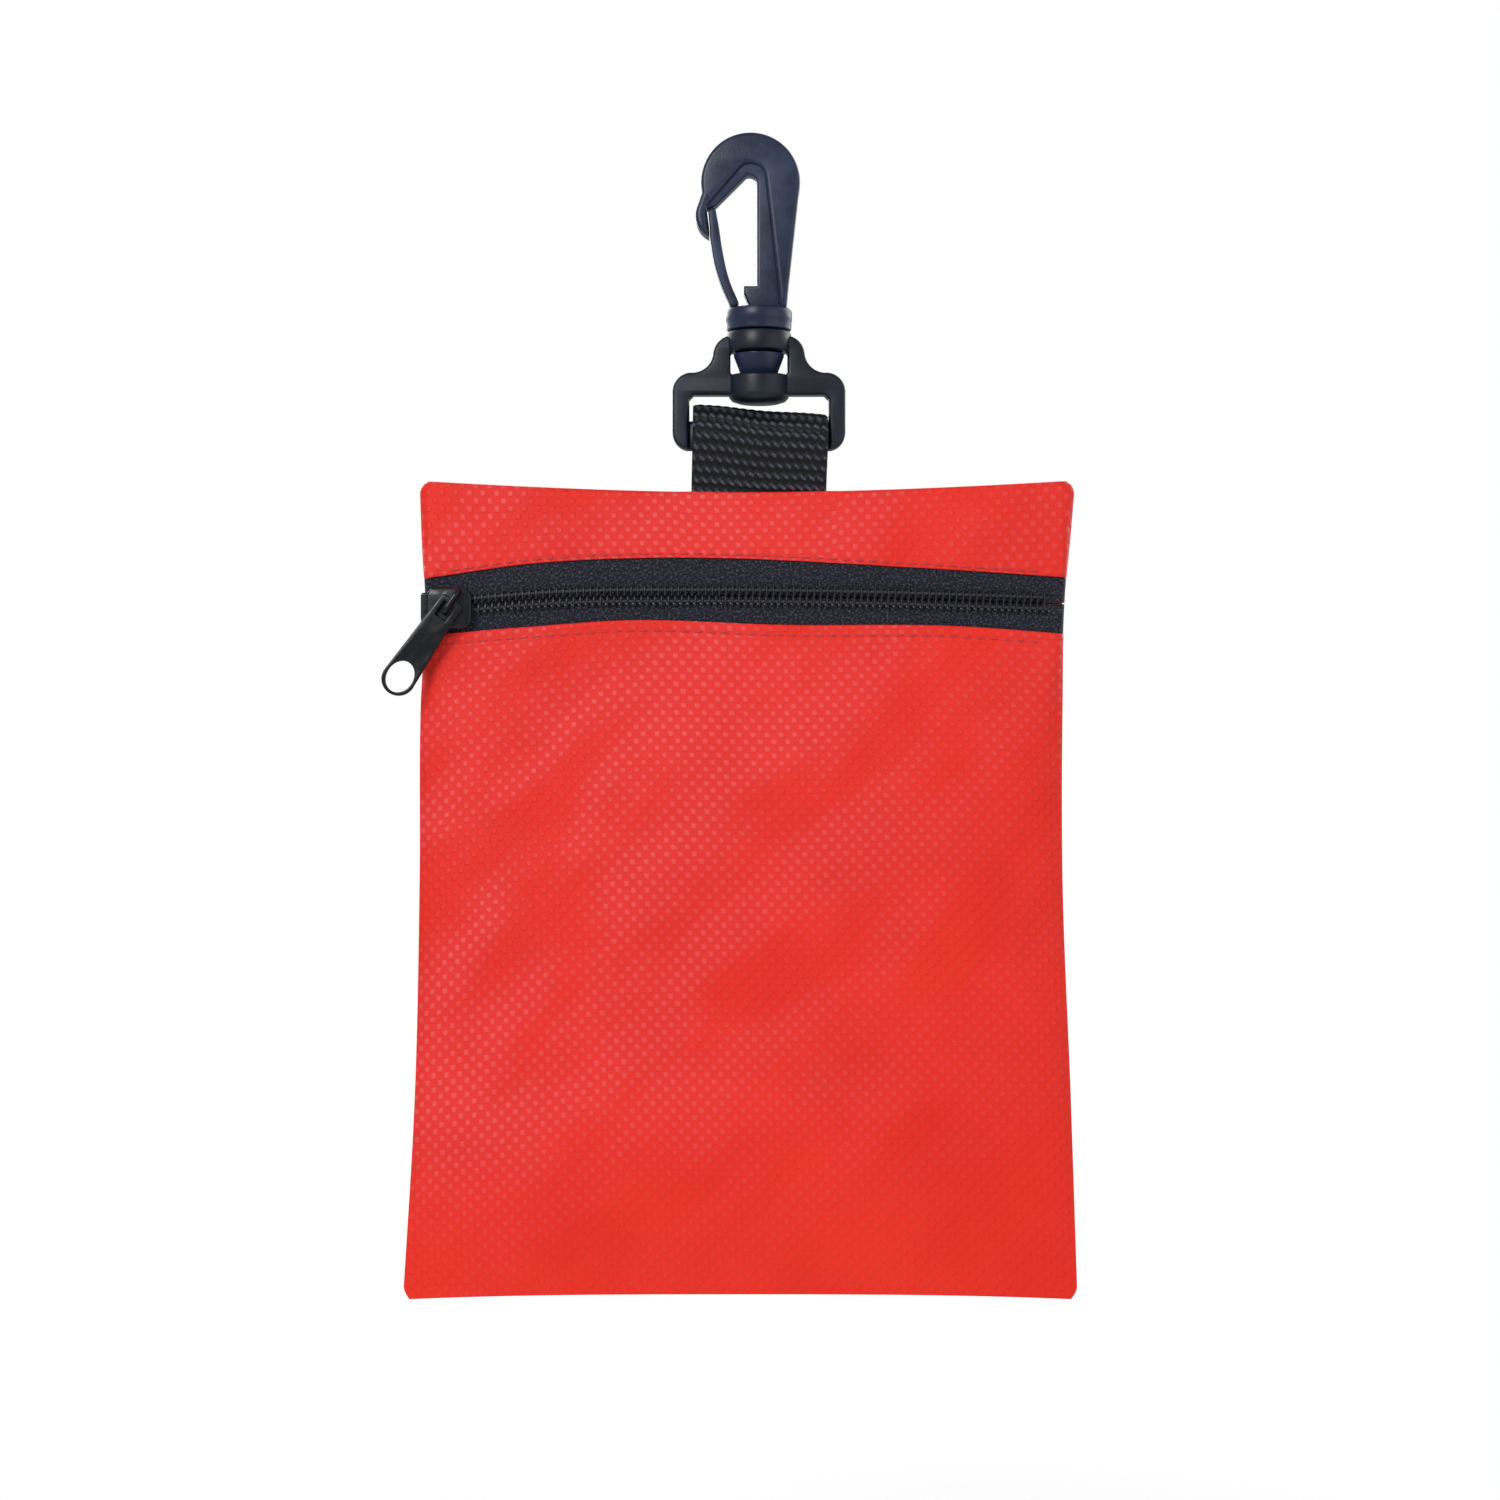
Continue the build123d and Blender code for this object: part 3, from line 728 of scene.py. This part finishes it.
def turned_top(grid, side):
    """Rolls the cloth over the top edge and down inside the top seam."""
    first = grid[0]
    along = first[:, 0] - first[:, 0].min()
    from_end = np.minimum(np.ptp(first[:, 0]) - along, along)
    gap = (SEAM_GAP + 0.05) * step(from_end, -2, 7) + 1.25 * seam_fill(first[:, 0])
    full = np.maximum(np.abs(grid[2][:, 1]), gap + 0.3)
    rows = []
    for drop, share in ((5.0, 0), (0.6, 0), (0.0, 0.06), (0.03, 0.45), (0.2, 0.85)):
        row = first.copy()
        row[:, 1] = side * (gap + (full - gap) * share)
        row[:, 2] -= drop
        rows.append(row)
    return np.concatenate([rows, grid[1:]])


def corners(grid, first_rows):
    """Marks the faces where two seams' turned-in cloth would meet, which is cut away."""
    marked = np.zeros((grid.shape[0] - 1, grid.shape[1] - 1), bool)
    for rows in (slice(first_rows), slice(-3, None)):
        marked[rows, :3] = marked[rows, -3:] = True
    return marked


def half_of(grid, marked, left):
    """The part of the front left or right of the mouth's widest point, with its map and marks."""
    cut = int(np.argmin(np.abs(grid[grid.shape[0] // 2, :, 0] - SPLIT_X)))
    uv = cloth_uv(grid)
    part = slice(0, cut + 1) if left else slice(cut, None)
    inner = slice(0, cut) if left else slice(cut, None)
    return grid[:, part], uv[:, part], marked[:, inner]


def mouth(obj):
    """Bakes the piece's place into its mesh."""
    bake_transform(obj)


EVEN = np.linspace(-1, 1, 190)
SHARES = np.sin(EVEN * math.pi / 2) * 0.65 + EVEN * 0.35  # closer together where the cloth turns

front_rows = hem(BAND_LOW, -1) + between(lambda x: curve(x, BAND_LOW) - 0.7, bottom_edge, 165)
front_grid = turned_bottom(with_sides(lay(SHARES, front_rows, front_depth, -1)), -1)
front_marks = corners(front_grid, 3)
for left, name in ((True, "front_panel_left"), (False, "front_panel_right")):
    grid, uv, marks = half_of(front_grid, front_marks, left)
    piece = shell(name, grid, CLOTH_T, uv, marks)
    finish_piece(piece, None, "red_cloth", RED_CLOTH, "front_panel")
    mouth(piece)

strip_rows = between(top_edge, lambda x: curve(x, BAND_TOP) + 0.7, 26) + hem(BAND_TOP, 1)[::-1]
strip_grid = turned_top(with_sides(lay(SHARES, strip_rows, front_depth, -1)), -1)
strip = shell("top_strip_cloth", strip_grid, CLOTH_T, None, corners(strip_grid, 2))
finish_piece(strip, "pouch", "red_cloth", RED_CLOTH, "top_strip")

back_rows = between(top_edge, bottom_edge, 200)
back_grid = lay(SHARES[::-1], back_rows, back_depth, 1)
back_grid = turned_top(turned_bottom(with_sides(back_grid), 1), 1)
back = shell("back_panel_cloth", back_grid, CLOTH_T, None, corners(back_grid, 2))
finish_piece(back, "pouch", "red_cloth", RED_CLOTH, "back_panel")


# ---- The zip ----

COIL_PITCH, COIL_WIRE = 1.21, 0.2
COIL_OUT, COIL_HALF_W = 0.92, 0.86  # a coil's middle from the zip's line, and half its width
COIL_STANDS, COIL_HALF_T = 0.6, 0.38  # how far it stands off the tape, and half its depth
STITCH_LEFT, STITCH_RIGHT = -54, 52  # the ends of the topstitching
UNDER_HEM = 4  # how far a tape runs on under the folded cloth
COIL_LOW, COIL_HIGH = corner_mm("zip_coil_upper")
ZIP_LEFT, ZIP_RIGHT = COIL_LOW.x + 1.5, COIL_HIGH.x


def front_at(x, z, inset=0.0):
    """Y of the front's face at loose places, for what is sewn to it."""
    left, right = curve(z, LEFT_EDGE), curve(z, RIGHT_EDGE)
    half = (right - left) / 2
    return -(front_depth((x - (left + right) / 2) / half, z, x, half) - inset)


def tape_grid(upper, lower):
    """A tape under the hemmed edges, out to the side seams."""
    def depth_of(s, z, x, half):
        return front_depth(s, z, x, half) - TAPE_DROP

    grid = lay(SHARES, between(upper, lower, 34), depth_of, -1)
    x, z = grid[..., 0], grid[..., 2]
    over, under = z - curve(x, BAND_TOP), curve(x, BAND_LOW) - z
    hidden = np.maximum(step(over, 0, 0.5), step(under, 0, 0.5))
    grid[..., 0] -= np.sign(SHARES) * 0.9 * hidden * step(np.abs(SHARES), 0.9, 1.0)
    return with_sides(grid)


def coil(side, first_x, last_x):
    """One side of the zip's coil: its front legs stand upright and it moves on behind them."""
    turns = int(round((last_x - first_x) / COIL_PITCH))
    t = np.linspace(0, turns, turns * 16 + 1)
    x = first_x + COIL_PITCH * (np.floor(t) + step(t % 1, 0.5, 1) + (0 if side > 0 else 0.5))
    swing = np.cos(2 * math.pi * t)
    z = curve(x, COIL_LINE) + side * (COIL_OUT + COIL_HALF_W * swing)
    middle = front_at(x, curve(x, COIL_LINE), TAPE_DROP) - COIL_STANDS
    y = middle - COIL_HALF_T * np.sin(2 * math.pi * t)
    wire = COIL_WIRE * (1.05 - 0.2 * swing)
    return tube(np.stack([x, y, z], axis=1), wire, 6)


def coil_thread(side, first_x, last_x):
    """The cord inside the coil, with the wrapped look that its stitching gives it."""
    x = np.arange(first_x, last_x, 0.15)
    z = curve(x, COIL_LINE) + side * 1.0
    y = front_at(x, z, TAPE_DROP) - COIL_STANDS
    wrapped = 0.24 + 0.03 * np.cos(2 * math.pi * x / (COIL_PITCH / 2))
    return tube(np.stack([x, y, z], axis=1), wrapped, 8)


def stitches(edge, offset, first_x, last_x):
    """Topstitching: short lengths of thread that dip into the cloth at both ends."""
    made = []
    for start in np.arange(STITCH_LEFT + 0.5, STITCH_RIGHT, STITCH_PITCH):
        if not first_x <= start < last_x:
            continue
        x = start + np.array([0.15, 0.3, 0.6, 1.0, 1.4, 1.7, 1.85])
        z = curve(x, edge) + offset
        lift = np.array([-0.22, -0.08, 0.02, 0.05, 0.02, -0.08, -0.22])
        made.append(tube(np.stack([x, front_at(x, z) - lift, z], axis=1), 0.2, 7))
    return joined(made)


def made_piece(name, made, body, slot, material, *nodes):
    """A finished piece from (points, faces)."""
    return finish_piece(new_object(name, *made), body, slot, material, *nodes)


upper_tape = tape_grid(lambda x: curve(x, BAND_TOP) + UNDER_HEM,
                       lambda x: curve(x, COIL_LINE) + 0.12)
piece = shell("zip_tape_upper_cloth", upper_tape, TAPE_T)
finish_piece(piece, "pouch", "zip_tape", ZIP_TAPE, "zip_tape_upper")
made_piece("zip_coil_upper_wire", coil(1, ZIP_LEFT, ZIP_RIGHT),
           "pouch", "zip_coil", ZIP_COIL, "zip_coil_upper")
made_piece("zip_coil_upper_thread", coil_thread(1, ZIP_LEFT, ZIP_RIGHT),
           "pouch", "zip_coil", BLACK_THREAD)
made_piece("zip_stitches_strip", stitches(BAND_TOP, STRIP_STITCH, STITCH_LEFT, STITCH_RIGHT),
           "pouch", "red_thread", RED_THREAD, "zip_stitches_upper")

lower_tape = tape_grid(lambda x: curve(x, COIL_LINE) - 0.12,
                       lambda x: curve(x, BAND_LOW) - UNDER_HEM)
no_marks = np.zeros((lower_tape.shape[0] - 1, lower_tape.shape[1] - 1), bool)
for left, side in ((True, "left"), (False, "right")):
    grid, uv, marks = half_of(lower_tape, no_marks, left)
    piece = shell("zip_tape_lower_" + side, grid, TAPE_T, uv, marks)
    finish_piece(piece, None, "zip_tape", ZIP_TAPE, "zip_tape_lower")
    mouth(piece)
    ends = (ZIP_LEFT, SPLIT_X) if left else (SPLIT_X, ZIP_RIGHT)
    mouth(made_piece("zip_coil_lower_" + side, coil(-1, *ends),
                     None, "zip_coil", ZIP_COIL, "zip_coil_lower"))
    mouth(made_piece("zip_coil_thread_" + side, coil_thread(-1, *ends),
                     None, "zip_coil", BLACK_THREAD))
    ends = (STITCH_LEFT, SPLIT_X) if left else (SPLIT_X, STITCH_RIGHT)
    mouth(made_piece("zip_stitches_" + side, stitches(BAND_LOW, PANEL_STITCH, *ends),
                     None, "red_thread", RED_THREAD, "zip_stitches_lower"))


# ---- The webbing ----

LOOP_R = 4.3  # the loop's outer radius over the bar
WEB_RELIEF = 0.20


def web_path():
    """The outer face of the loop from the back tail, over the bar, to the front tail: (y, z)."""
    bar_z = WEB_HIGH.z - LOOP_R
    leg = [(1.33, WEB_LOW.z), (1.33, -58.5), (1.4, -56.5), (2.1, -53.2), (3.45, -49.6)]
    over = arc((0, bar_z), LOOP_R, 0, 180, 15)
    points = leg + over + [(-y, z) for y, z in leg[::-1]]
    return np.array(smooth(points, 190))


def web_relief(across, along):
    """The woven relief, from 0 to 1, as the material draws it."""
    slanted = across + along * 0.55
    rows = np.cos(2 * math.pi * along / WEB_ROW)
    return step(rows + 0.75 * np.cos(2 * math.pi * slanted / WEB_YARN), -1.2, 1.6)


path = web_path()
x = np.linspace(WEB_LOW.x, WEB_HIGH.x, 96)
grid = np.zeros((len(path), len(x), 3))
grid[:, :, 0] = x[None]
grid[:, :, 1:] = path[:, None, :]
across = (x - x[0]) / WEB_W
raised = step(grid[:, :, 2], -57, -44)
grid[:, :, 2] += raised * (1.45 - 1.9 * across[None] + 0.12 * np.sin(across * 9)[None])
grid[:, :, 0] += raised * 0.3
web_uv = cloth_uv(grid)
relief = WEB_RELIEF * web_relief(web_uv[..., 0], web_uv[..., 1]) - WEB_RELIEF
edge = np.minimum(x - x[0], x[-1] - x)[None]
relief = relief - 0.34 * (1 - np.clip(edge / 0.7, 0, 1)) ** 2
grid = grid + grid_normals(grid) * relief[..., None]
web = shell("webbing_strap", grid, WEB_T - 0.24, web_uv)
finish_piece(web, "pouch", "black_webbing", WEBBING, "webbing_loop")


# ---- What is kept in the pouch ----

PACKET_GRID, PACKET_SEED = 36, 70


def sachet(middle, width, height, low_y, high_y, crimp, seed):
    """A flat sealed packet: thin crimped edges round a slightly filled middle."""
    a, b = np.meshgrid(np.linspace(-1, 1, PACKET_GRID), np.linspace(1, -1, PACKET_GRID))
    x, z = middle[0] + a * width / 2, middle[1] + b * height / 2
    inward = np.minimum((1 - np.abs(a)) * width / 2, (1 - np.abs(b)) * height / 2)
    fill = 0.12 + 0.88 * step(inward, crimp * 0.7, crimp * 2.6)
    fill = fill * (0.9 + 0.1 * ripple(x, z, 8, seed))
    fill = fill + 0.05 * np.cos(2 * math.pi * (x + z) / 1.1) * (inward < crimp)
    centre, half = (low_y + high_y) / 2, (high_y - low_y) / 2
    fill = np.clip(fill, 0.05, 1) * half
    front = np.stack([x, centre - fill, z], axis=-1)
    back = np.stack([x, centre + fill, z], axis=-1)
    rows, cols = x.shape
    index = np.arange(rows * cols).reshape(rows, cols)
    ring = np.concatenate([index[0, :-1], index[:-1, -1], index[-1, :0:-1], index[:0:-1, 0]])
    following, count = np.roll(ring, -1), rows * cols
    rim = np.stack([ring, following, following + count, ring + count], axis=1)
    faces = np.concatenate([grid_faces(rows, cols), grid_faces(rows, cols, count, flip=True), rim])
    return np.concatenate([front.reshape(-1, 3), back.reshape(-1, 3)]), faces


def packets(node, name, count, slot, material, crimp, gap):
    """Fills a CAD node's box with a row of sachets."""
    low, high = corner_mm(node)
    width = (high.x - low.x - gap * (count - 1)) / count
    made = []
    for k in range(count):
        middle = (low.x + width / 2 + k * (width + gap), (low.z + high.z) / 2)
        made.append(sachet(middle, width, high.z - low.z, low.y, high.y, crimp, PACKET_SEED + k))
    made_piece(name, joined(made), "pouch", slot, material, node)


packets("gauze_pads", "gauze_sachets", 2, "sachet_white", SACHET_WHITE, 4.0, 2.0)
packets("ointment_sachet", "ointment_packet", 1, "sachet_foil", SACHET_FOIL, 2.5, 0.0)
packets("antiseptic_wipes", "wipe_sachets", 3, "sachet_foil", SACHET_FOIL, 3.0, 2.0)
packets("adhesive_bandages", "bandage_sleeves", 4, "paper", PAPER, 1.6, 2.0)

low, high = corner_mm("first_aid_leaflet")
leaf_t = (high.y - low.y - 0.1) / 3
leaves = []
for k, (right, down) in enumerate(((0, 0), (-0.5, 0.3), (-0.2, 0.6))):
    leaf = [(low.x, low.z + down), (high.x + right, low.z + down),
            (high.x + right, high.z), (low.x, high.z)]
    leaves.append(slab([leaf], leaf_t, 0.05, low.y + leaf_t / 2 + k * (leaf_t + 0.05), 1))
made_piece("folded_leaflet", joined(leaves), "pouch", "paper", PAPER, "first_aid_leaflet")


# ---- The snap hook ----

def through(a, b, c, count=18):
    """An arc from a to c by way of b."""
    (ax, az), (bx, bz), (cx, cz) = a, b, c
    d = 2 * (ax * (bz - cz) + bx * (cz - az) + cx * (az - bz))
    a2, b2, c2 = ax * ax + az * az, bx * bx + bz * bz, cx * cx + cz * cz
    x = (a2 * (bz - cz) + b2 * (cz - az) + c2 * (az - bz)) / d
    z = (a2 * (cx - bx) + b2 * (ax - cx) + c2 * (bx - ax)) / d
    turns = np.degrees([math.atan2(pz - z, px - x) for px, pz in (a, b, c)])
    first, by, last = turns
    spin = (last - first) % 360
    if (by - first) % 360 > spin:
        spin -= 360
    return arc((x, z), math.hypot(ax - x, az - z), first, first + spin, count)


def rigid(name, parts, body, slot, material, *nodes):
    """A finished hard piece from several (points, faces)."""
    finish_piece(cleaned(new_object(name, *joined(parts))), body, slot, material, *nodes)


COLLAR_TOP, COLLAR_LOW = -23.4, -27.4
POST_R, BARB_R = 3.0, 4.5
BARB_TOP, POST_LOW = -31.4, -35.9
SLIT_HALF = 0.7  # half the slit that lets the post spring shut
HOOK_T, RIB_T, GATE_T = 4.0, 5.8, 4.2
hook_edge = [(6.6, COLLAR_TOP - 0.3), (6.9, -20.0)]
hook_edge += through((8.75, -3.0), (0.1, 7.85), (-8.6, -2.9), 60)
hook_edge += through((-9.4, -5.2), (-9.4, -8.7), (-7.3, -10.8), 16)
eye_edge = [(-7.3, -9.2), (-7.75, -5.7), (-6.1, -5.2), (-0.9, 0.0)]
eye_edge += through((-0.6, 0.25), (0.2, 0.28), (1.0, -0.2), 6)
eye_edge += [(1.25, -1.0), (1.25, -19.5), (-1.1, -19.5), (-1.1, -21.0), (0.1, COLLAR_TOP - 0.3)]
rib_edge = [(-7.9, -6.4), (-7.6, -5.2), (-1.9, 1.4)]
rib_edge += through((-1.5, 1.8), (1.2, 2.1), (2.6, 0.4), 10) + [(5.3, COLLAR_TOP - 0.3)]
COLLAR = [(0, COLLAR_TOP), (4.9, COLLAR_TOP), (5.5, -23.5), (5.85, -23.8), (5.95, -24.2),
          (5.95, -25.6), (5.85, -25.75), (5.85, -26.9), (5.75, -27.25), (5.45, COLLAR_LOW),
          (0, COLLAR_LOW)]
BARB = [(0, COLLAR_LOW), (POST_R, COLLAR_LOW), (POST_R, BARB_TOP), (4.2, BARB_TOP), (BARB_R, -31.6),
        (BARB_R, -31.9), (3.1, -35.6), (2.8, POST_LOW), (0, POST_LOW)]
halves = []
for side in (-1, 1):
    points, faces = turned(BARB, 64)
    points[:, 1] = side * np.maximum(side * points[:, 1], SLIT_HALF)
    halves.append((points, faces))
rigid("snap_hook", [slab([hook_edge + eye_edge], HOOK_T, 0.55),
                    slab([hook_edge + rib_edge], RIB_T, 0.8), turned(COLLAR, 96)] + halves,
      "hook", "hook_plastic", HOOK_PLASTIC, "hook_body")

gate_inner = smooth([(-2.05, -22.45), (-3.6, -18.7), (-5.0, -12.7), (-5.5, -9.3), (-6.15, -5.7)])
gate_outer = smooth([(-7.16, -11.0), (-6.4, -15.4), (-5.2, -19.2), (-3.75, -22.45)], 20)
gate_edge = gate_inner + [(-6.5, -5.65), (-7.5, -6.0), (-7.2, -9.2)] + gate_outer
gate_edge += arc((-2.9, -22.45), 0.85, 200, 340, 8)
rigid("spring_gate", [slab([gate_edge], GATE_T, 0.4)],
      "gate", "hook_plastic", HOOK_PLASTIC, "hook_gate")


# ---- The swivel base ----

def about_swivel(half):
    """Both sides of an outline that is the same left and right of the swivel's axis."""
    right = [(SWIVEL_X + x, z) for x, z in half]
    return right + [(SWIVEL_X - x, z) for x, z in half[::-1] if x > 0]


shoulder = [(5.4, -28.4)] + through((5.4, -28.4), (7.4, -29.6), (8.2, -31.4), 8)[1:]
shoulder += through((8.2, -31.4), (9.4, -34.0), (11.7, -35.0), 10)[1:]
shoulder += through((11.7, -35.0), (14.4, -35.9), (15.5, -38.2), 10)[1:]
foot = through((15.5, -45.7), (14.55, -47.95), (12.9, -48.8), 8)
frame_edge = about_swivel(shoulder + foot + [(12.5, -48.7), (12.5, -39.8), (11.7, -39.0)])
slot_edge = about_swivel([(4.7, -31.2), (5.1, -31.6), (5.1, -35.0), (4.7, -35.4)])
RING = [(3.1, -27.6), (5.3, -27.6), (5.65, -27.75), (5.8, -28.1), (5.8, -30.7), (5.65, -31.05),
        (5.3, -31.2), (3.1, -31.2)]
BOSS = [(0, -36.4), (3.6, -36.4), (3.6, -35.4), (5.2, -35.4), (5.5, -35.7), (5.5, -38.6),
        (5.35, -39.4), (4.8, -40.0), (3.6, -40.4), (1.8, -40.57), (0, -40.6)]
BASE_T, BAR_T, BAR_HALF_W, BAR_TOP, BAR_LOW = 4.2, 3.2, 12.9, -43.6, -48.9
bar = about_swivel([(BAR_HALF_W, BAR_LOW), (BAR_HALF_W, BAR_TOP)])
rigid("swivel_frame", [slab([frame_edge, slot_edge], BASE_T, 0.65),
                       turned(RING, 96, True), turned(BOSS, 96), slab([bar], BAR_T, 1.3, 0, 5)],
      "base", "hook_plastic", BASE_PLASTIC, "swivel_base")


# ---- Slider and pull ----

PULL_LEAN = math.radians(55.5)
PIVOT = (-53.0, SLIDER_Z)
PLATE_X = -53.6
TOP_Y, LOW_Y = -4.4, -1.15  # the middles of the top and back plates
EYE_X, EYE_END, PULL_W = 16.1, 19.6, 3.0


def on_pull(points):
    """From (along the pull, across it) to X and Z."""
    c, s = math.cos(PULL_LEAN), math.sin(PULL_LEAN)
    return [(PIVOT[0] - u * c - v * s, PIVOT[1] - u * s + v * c) for u, v in points]


def on_slider(x0, x1, z0, z1, r):
    """A box's outline with round corners, placed from the slider's middle."""
    right, left = PLATE_X + x1 - r, PLATE_X + x0 + r
    top, low = SLIDER_Z + z1 - r, SLIDER_Z + z0 + r
    turns = ((right, top, 0), (left, top, 90), (left, low, 180), (right, low, 270))
    return [p for x, z, turn in turns for p in arc((x, z), r, turn, turn + 90, 7)]


top_plate = on_slider(-4.0, 4.0, -4.6, 2.6, 1.7)
nose = on_slider(-5.0, -3.2, -3.7, 1.7, 0.5)
low_plate = on_slider(-2.5, 3.9, -3.6, 3.6, 1.4)
wedge = on_slider(-3.0, -1.0, -0.1, 0.1, 0.08)
spot = arc((PLATE_X + 0.6, SLIDER_Z), 2.4, 0, 345, 24)
arch_u = 0.9 * np.array([-2.55, -2.55, -2.4, -1.8, -0.7, 0.7, 1.8, 2.4, 2.55, 2.55])
arch_y = np.array([-4.7, -6.3, -6.8, -7.1, -7.18, -7.18, -7.1, -6.8, -6.3, -4.7])
arch_at = on_pull([(u, 0) for u in arch_u])
arch_path = smooth([(x, y, z) for (x, z), y in zip(arch_at, arch_y)], 36)
arch_r = 0.43 + 0.05 * np.sin(np.linspace(0, math.pi, 36))
rigid("zip_slider", [slab([top_plate], 1.1, 0.42, TOP_Y), slab([nose], 1.0, 0.25, TOP_Y),
                     slab([low_plate], 1.0, 0.35, LOW_Y), slab([wedge], 2.6, 0.1, -2.7),
                     slab([spot], 0.3, 0.12, -4.92), tube(arch_path, arch_r, 14)],
      "slider", "slider_metal", SLIDER_METAL, "slider_body")

pull_edge = [(-0.55, -1.6), (-0.55, 1.6), (-0.15, 2.15), (3.5, 2.3), (EYE_X, PULL_W)]
pull_edge += through((EYE_X, PULL_W), (EYE_END, 0.0), (EYE_X, -PULL_W), 30)[1:]
pull_edge += [(3.5, -2.3), (-0.15, -2.15)]
window = [(0.55, -1.15), (3.45, -1.15), (3.45, 1.15), (0.55, 1.15)]
eye_turns = np.linspace(0, 2 * math.pi, 49)[:-1]
eye = [(EYE_X + 2.95 * math.cos(a), 2.4 * math.sin(a)) for a in eye_turns]
pull_outlines = [on_pull(points) for points in (pull_edge, window, eye)]
rigid("zip_pull", [slab(pull_outlines, 1.1, 0.22, PULL_Y)],
      "pull", "slider_metal", SLIDER_METAL, "pull_tab")

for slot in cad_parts["seam_threads"].material_slots:
    slot.material = RED_THREAD


# ---- Camera, lights and floor ----

camera_data = bpy.data.cameras.new("camera")
camera_data.lens = 66.8
camera = in_scene("camera", camera_data)
camera.location = (0, -0.5, -0.1026)
camera.rotation_euler = (math.radians(90), 0, 0)
bpy.context.scene.camera = camera
bpy.context.scene.view_settings.view_transform = "Standard"


def soft_light(name, place, size, watts):
    data = bpy.data.lights.new(name, "AREA")
    data.size, data.energy = size, watts
    light = in_scene(name, data)
    light.location = place
    light.rotation_euler = (Vector(MIDDLE) - Vector(place)).to_track_quat("-Z", "Y").to_euler()


MIDDLE = (0, 0, -0.11)  # what every light is aimed at
soft_light("key", (-0.42, -0.85, 0.26), 0.4, 5)
soft_light("fill", (0.8, -0.6, -0.05), 0.9, 2)
soft_light("back_left", (-0.5, 0.8, 0.3), 0.6, 6)
soft_light("back_right", (0.7, 0.6, 0.2), 0.6, 4)

FLOOR_Z, FLOOR_R = -0.29, 0.28  # metres; it fades out towards its edge
FLOOR_GREYS = (0.90, 0.90, 0.90, 1), (0.93, 0.93, 0.93, 1)
bm = bmesh.new()
bmesh.ops.create_circle(bm, cap_ends=True, segments=96, radius=FLOOR_R,
                        matrix=Matrix.Translation((0, 0, FLOOR_Z)))
floor_mesh = bpy.data.meshes.new("floor")
bm.to_mesh(floor_mesh)
bm.free()
floor = in_scene("floor", floor_mesh)
g = Graph("floor", 0.9, Specular_IOR_Level=0.1)
place = g.add("TexCoord").outputs["Object"]
flat_place = g.add("VectorMath", {0: place, 1: (1, 1, 0)}, operation="MULTIPLY").outputs[0]
out_from = g.add("VectorMath", {0: flat_place}, operation="LENGTH").outputs["Value"]
g.colour(g.mix(g.fit(g.noise(flat_place, 0.12, 3), 0.3, 0.7), *FLOOR_GREYS))
g.put(g.shader.inputs["Alpha"], g.fit(out_from, FLOOR_R * 0.3, FLOOR_R * 0.97, 1.0, 0.0))
floor_mesh.materials.append(g.material)
floor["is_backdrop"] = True

world = bpy.data.worlds.new("white")
bpy.context.scene.world = world
world.use_nodes = True
tree = world.node_tree
background = tree.nodes["Background"]
lit = tree.nodes.new("ShaderNodeBackground")  # lights the object; the camera sees plain white
for node, colour, strength in ((lit, (0.96, 0.98, 1, 1), 0.44), (background, (1, 1, 1, 1), 1)):
    node.inputs["Color"].default_value = colour
    node.inputs["Strength"].default_value = strength
seen = tree.nodes.new("ShaderNodeLightPath")
chosen = tree.nodes.new("ShaderNodeMixShader")
tree.links.new(seen.outputs["Is Camera Ray"], chosen.inputs[0])
tree.links.new(lit.outputs[0], chosen.inputs[1])
tree.links.new(background.outputs[0], chosen.inputs[2])
tree.links.new(chosen.outputs[0], tree.nodes["World Output"].inputs[0])

low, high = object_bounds()
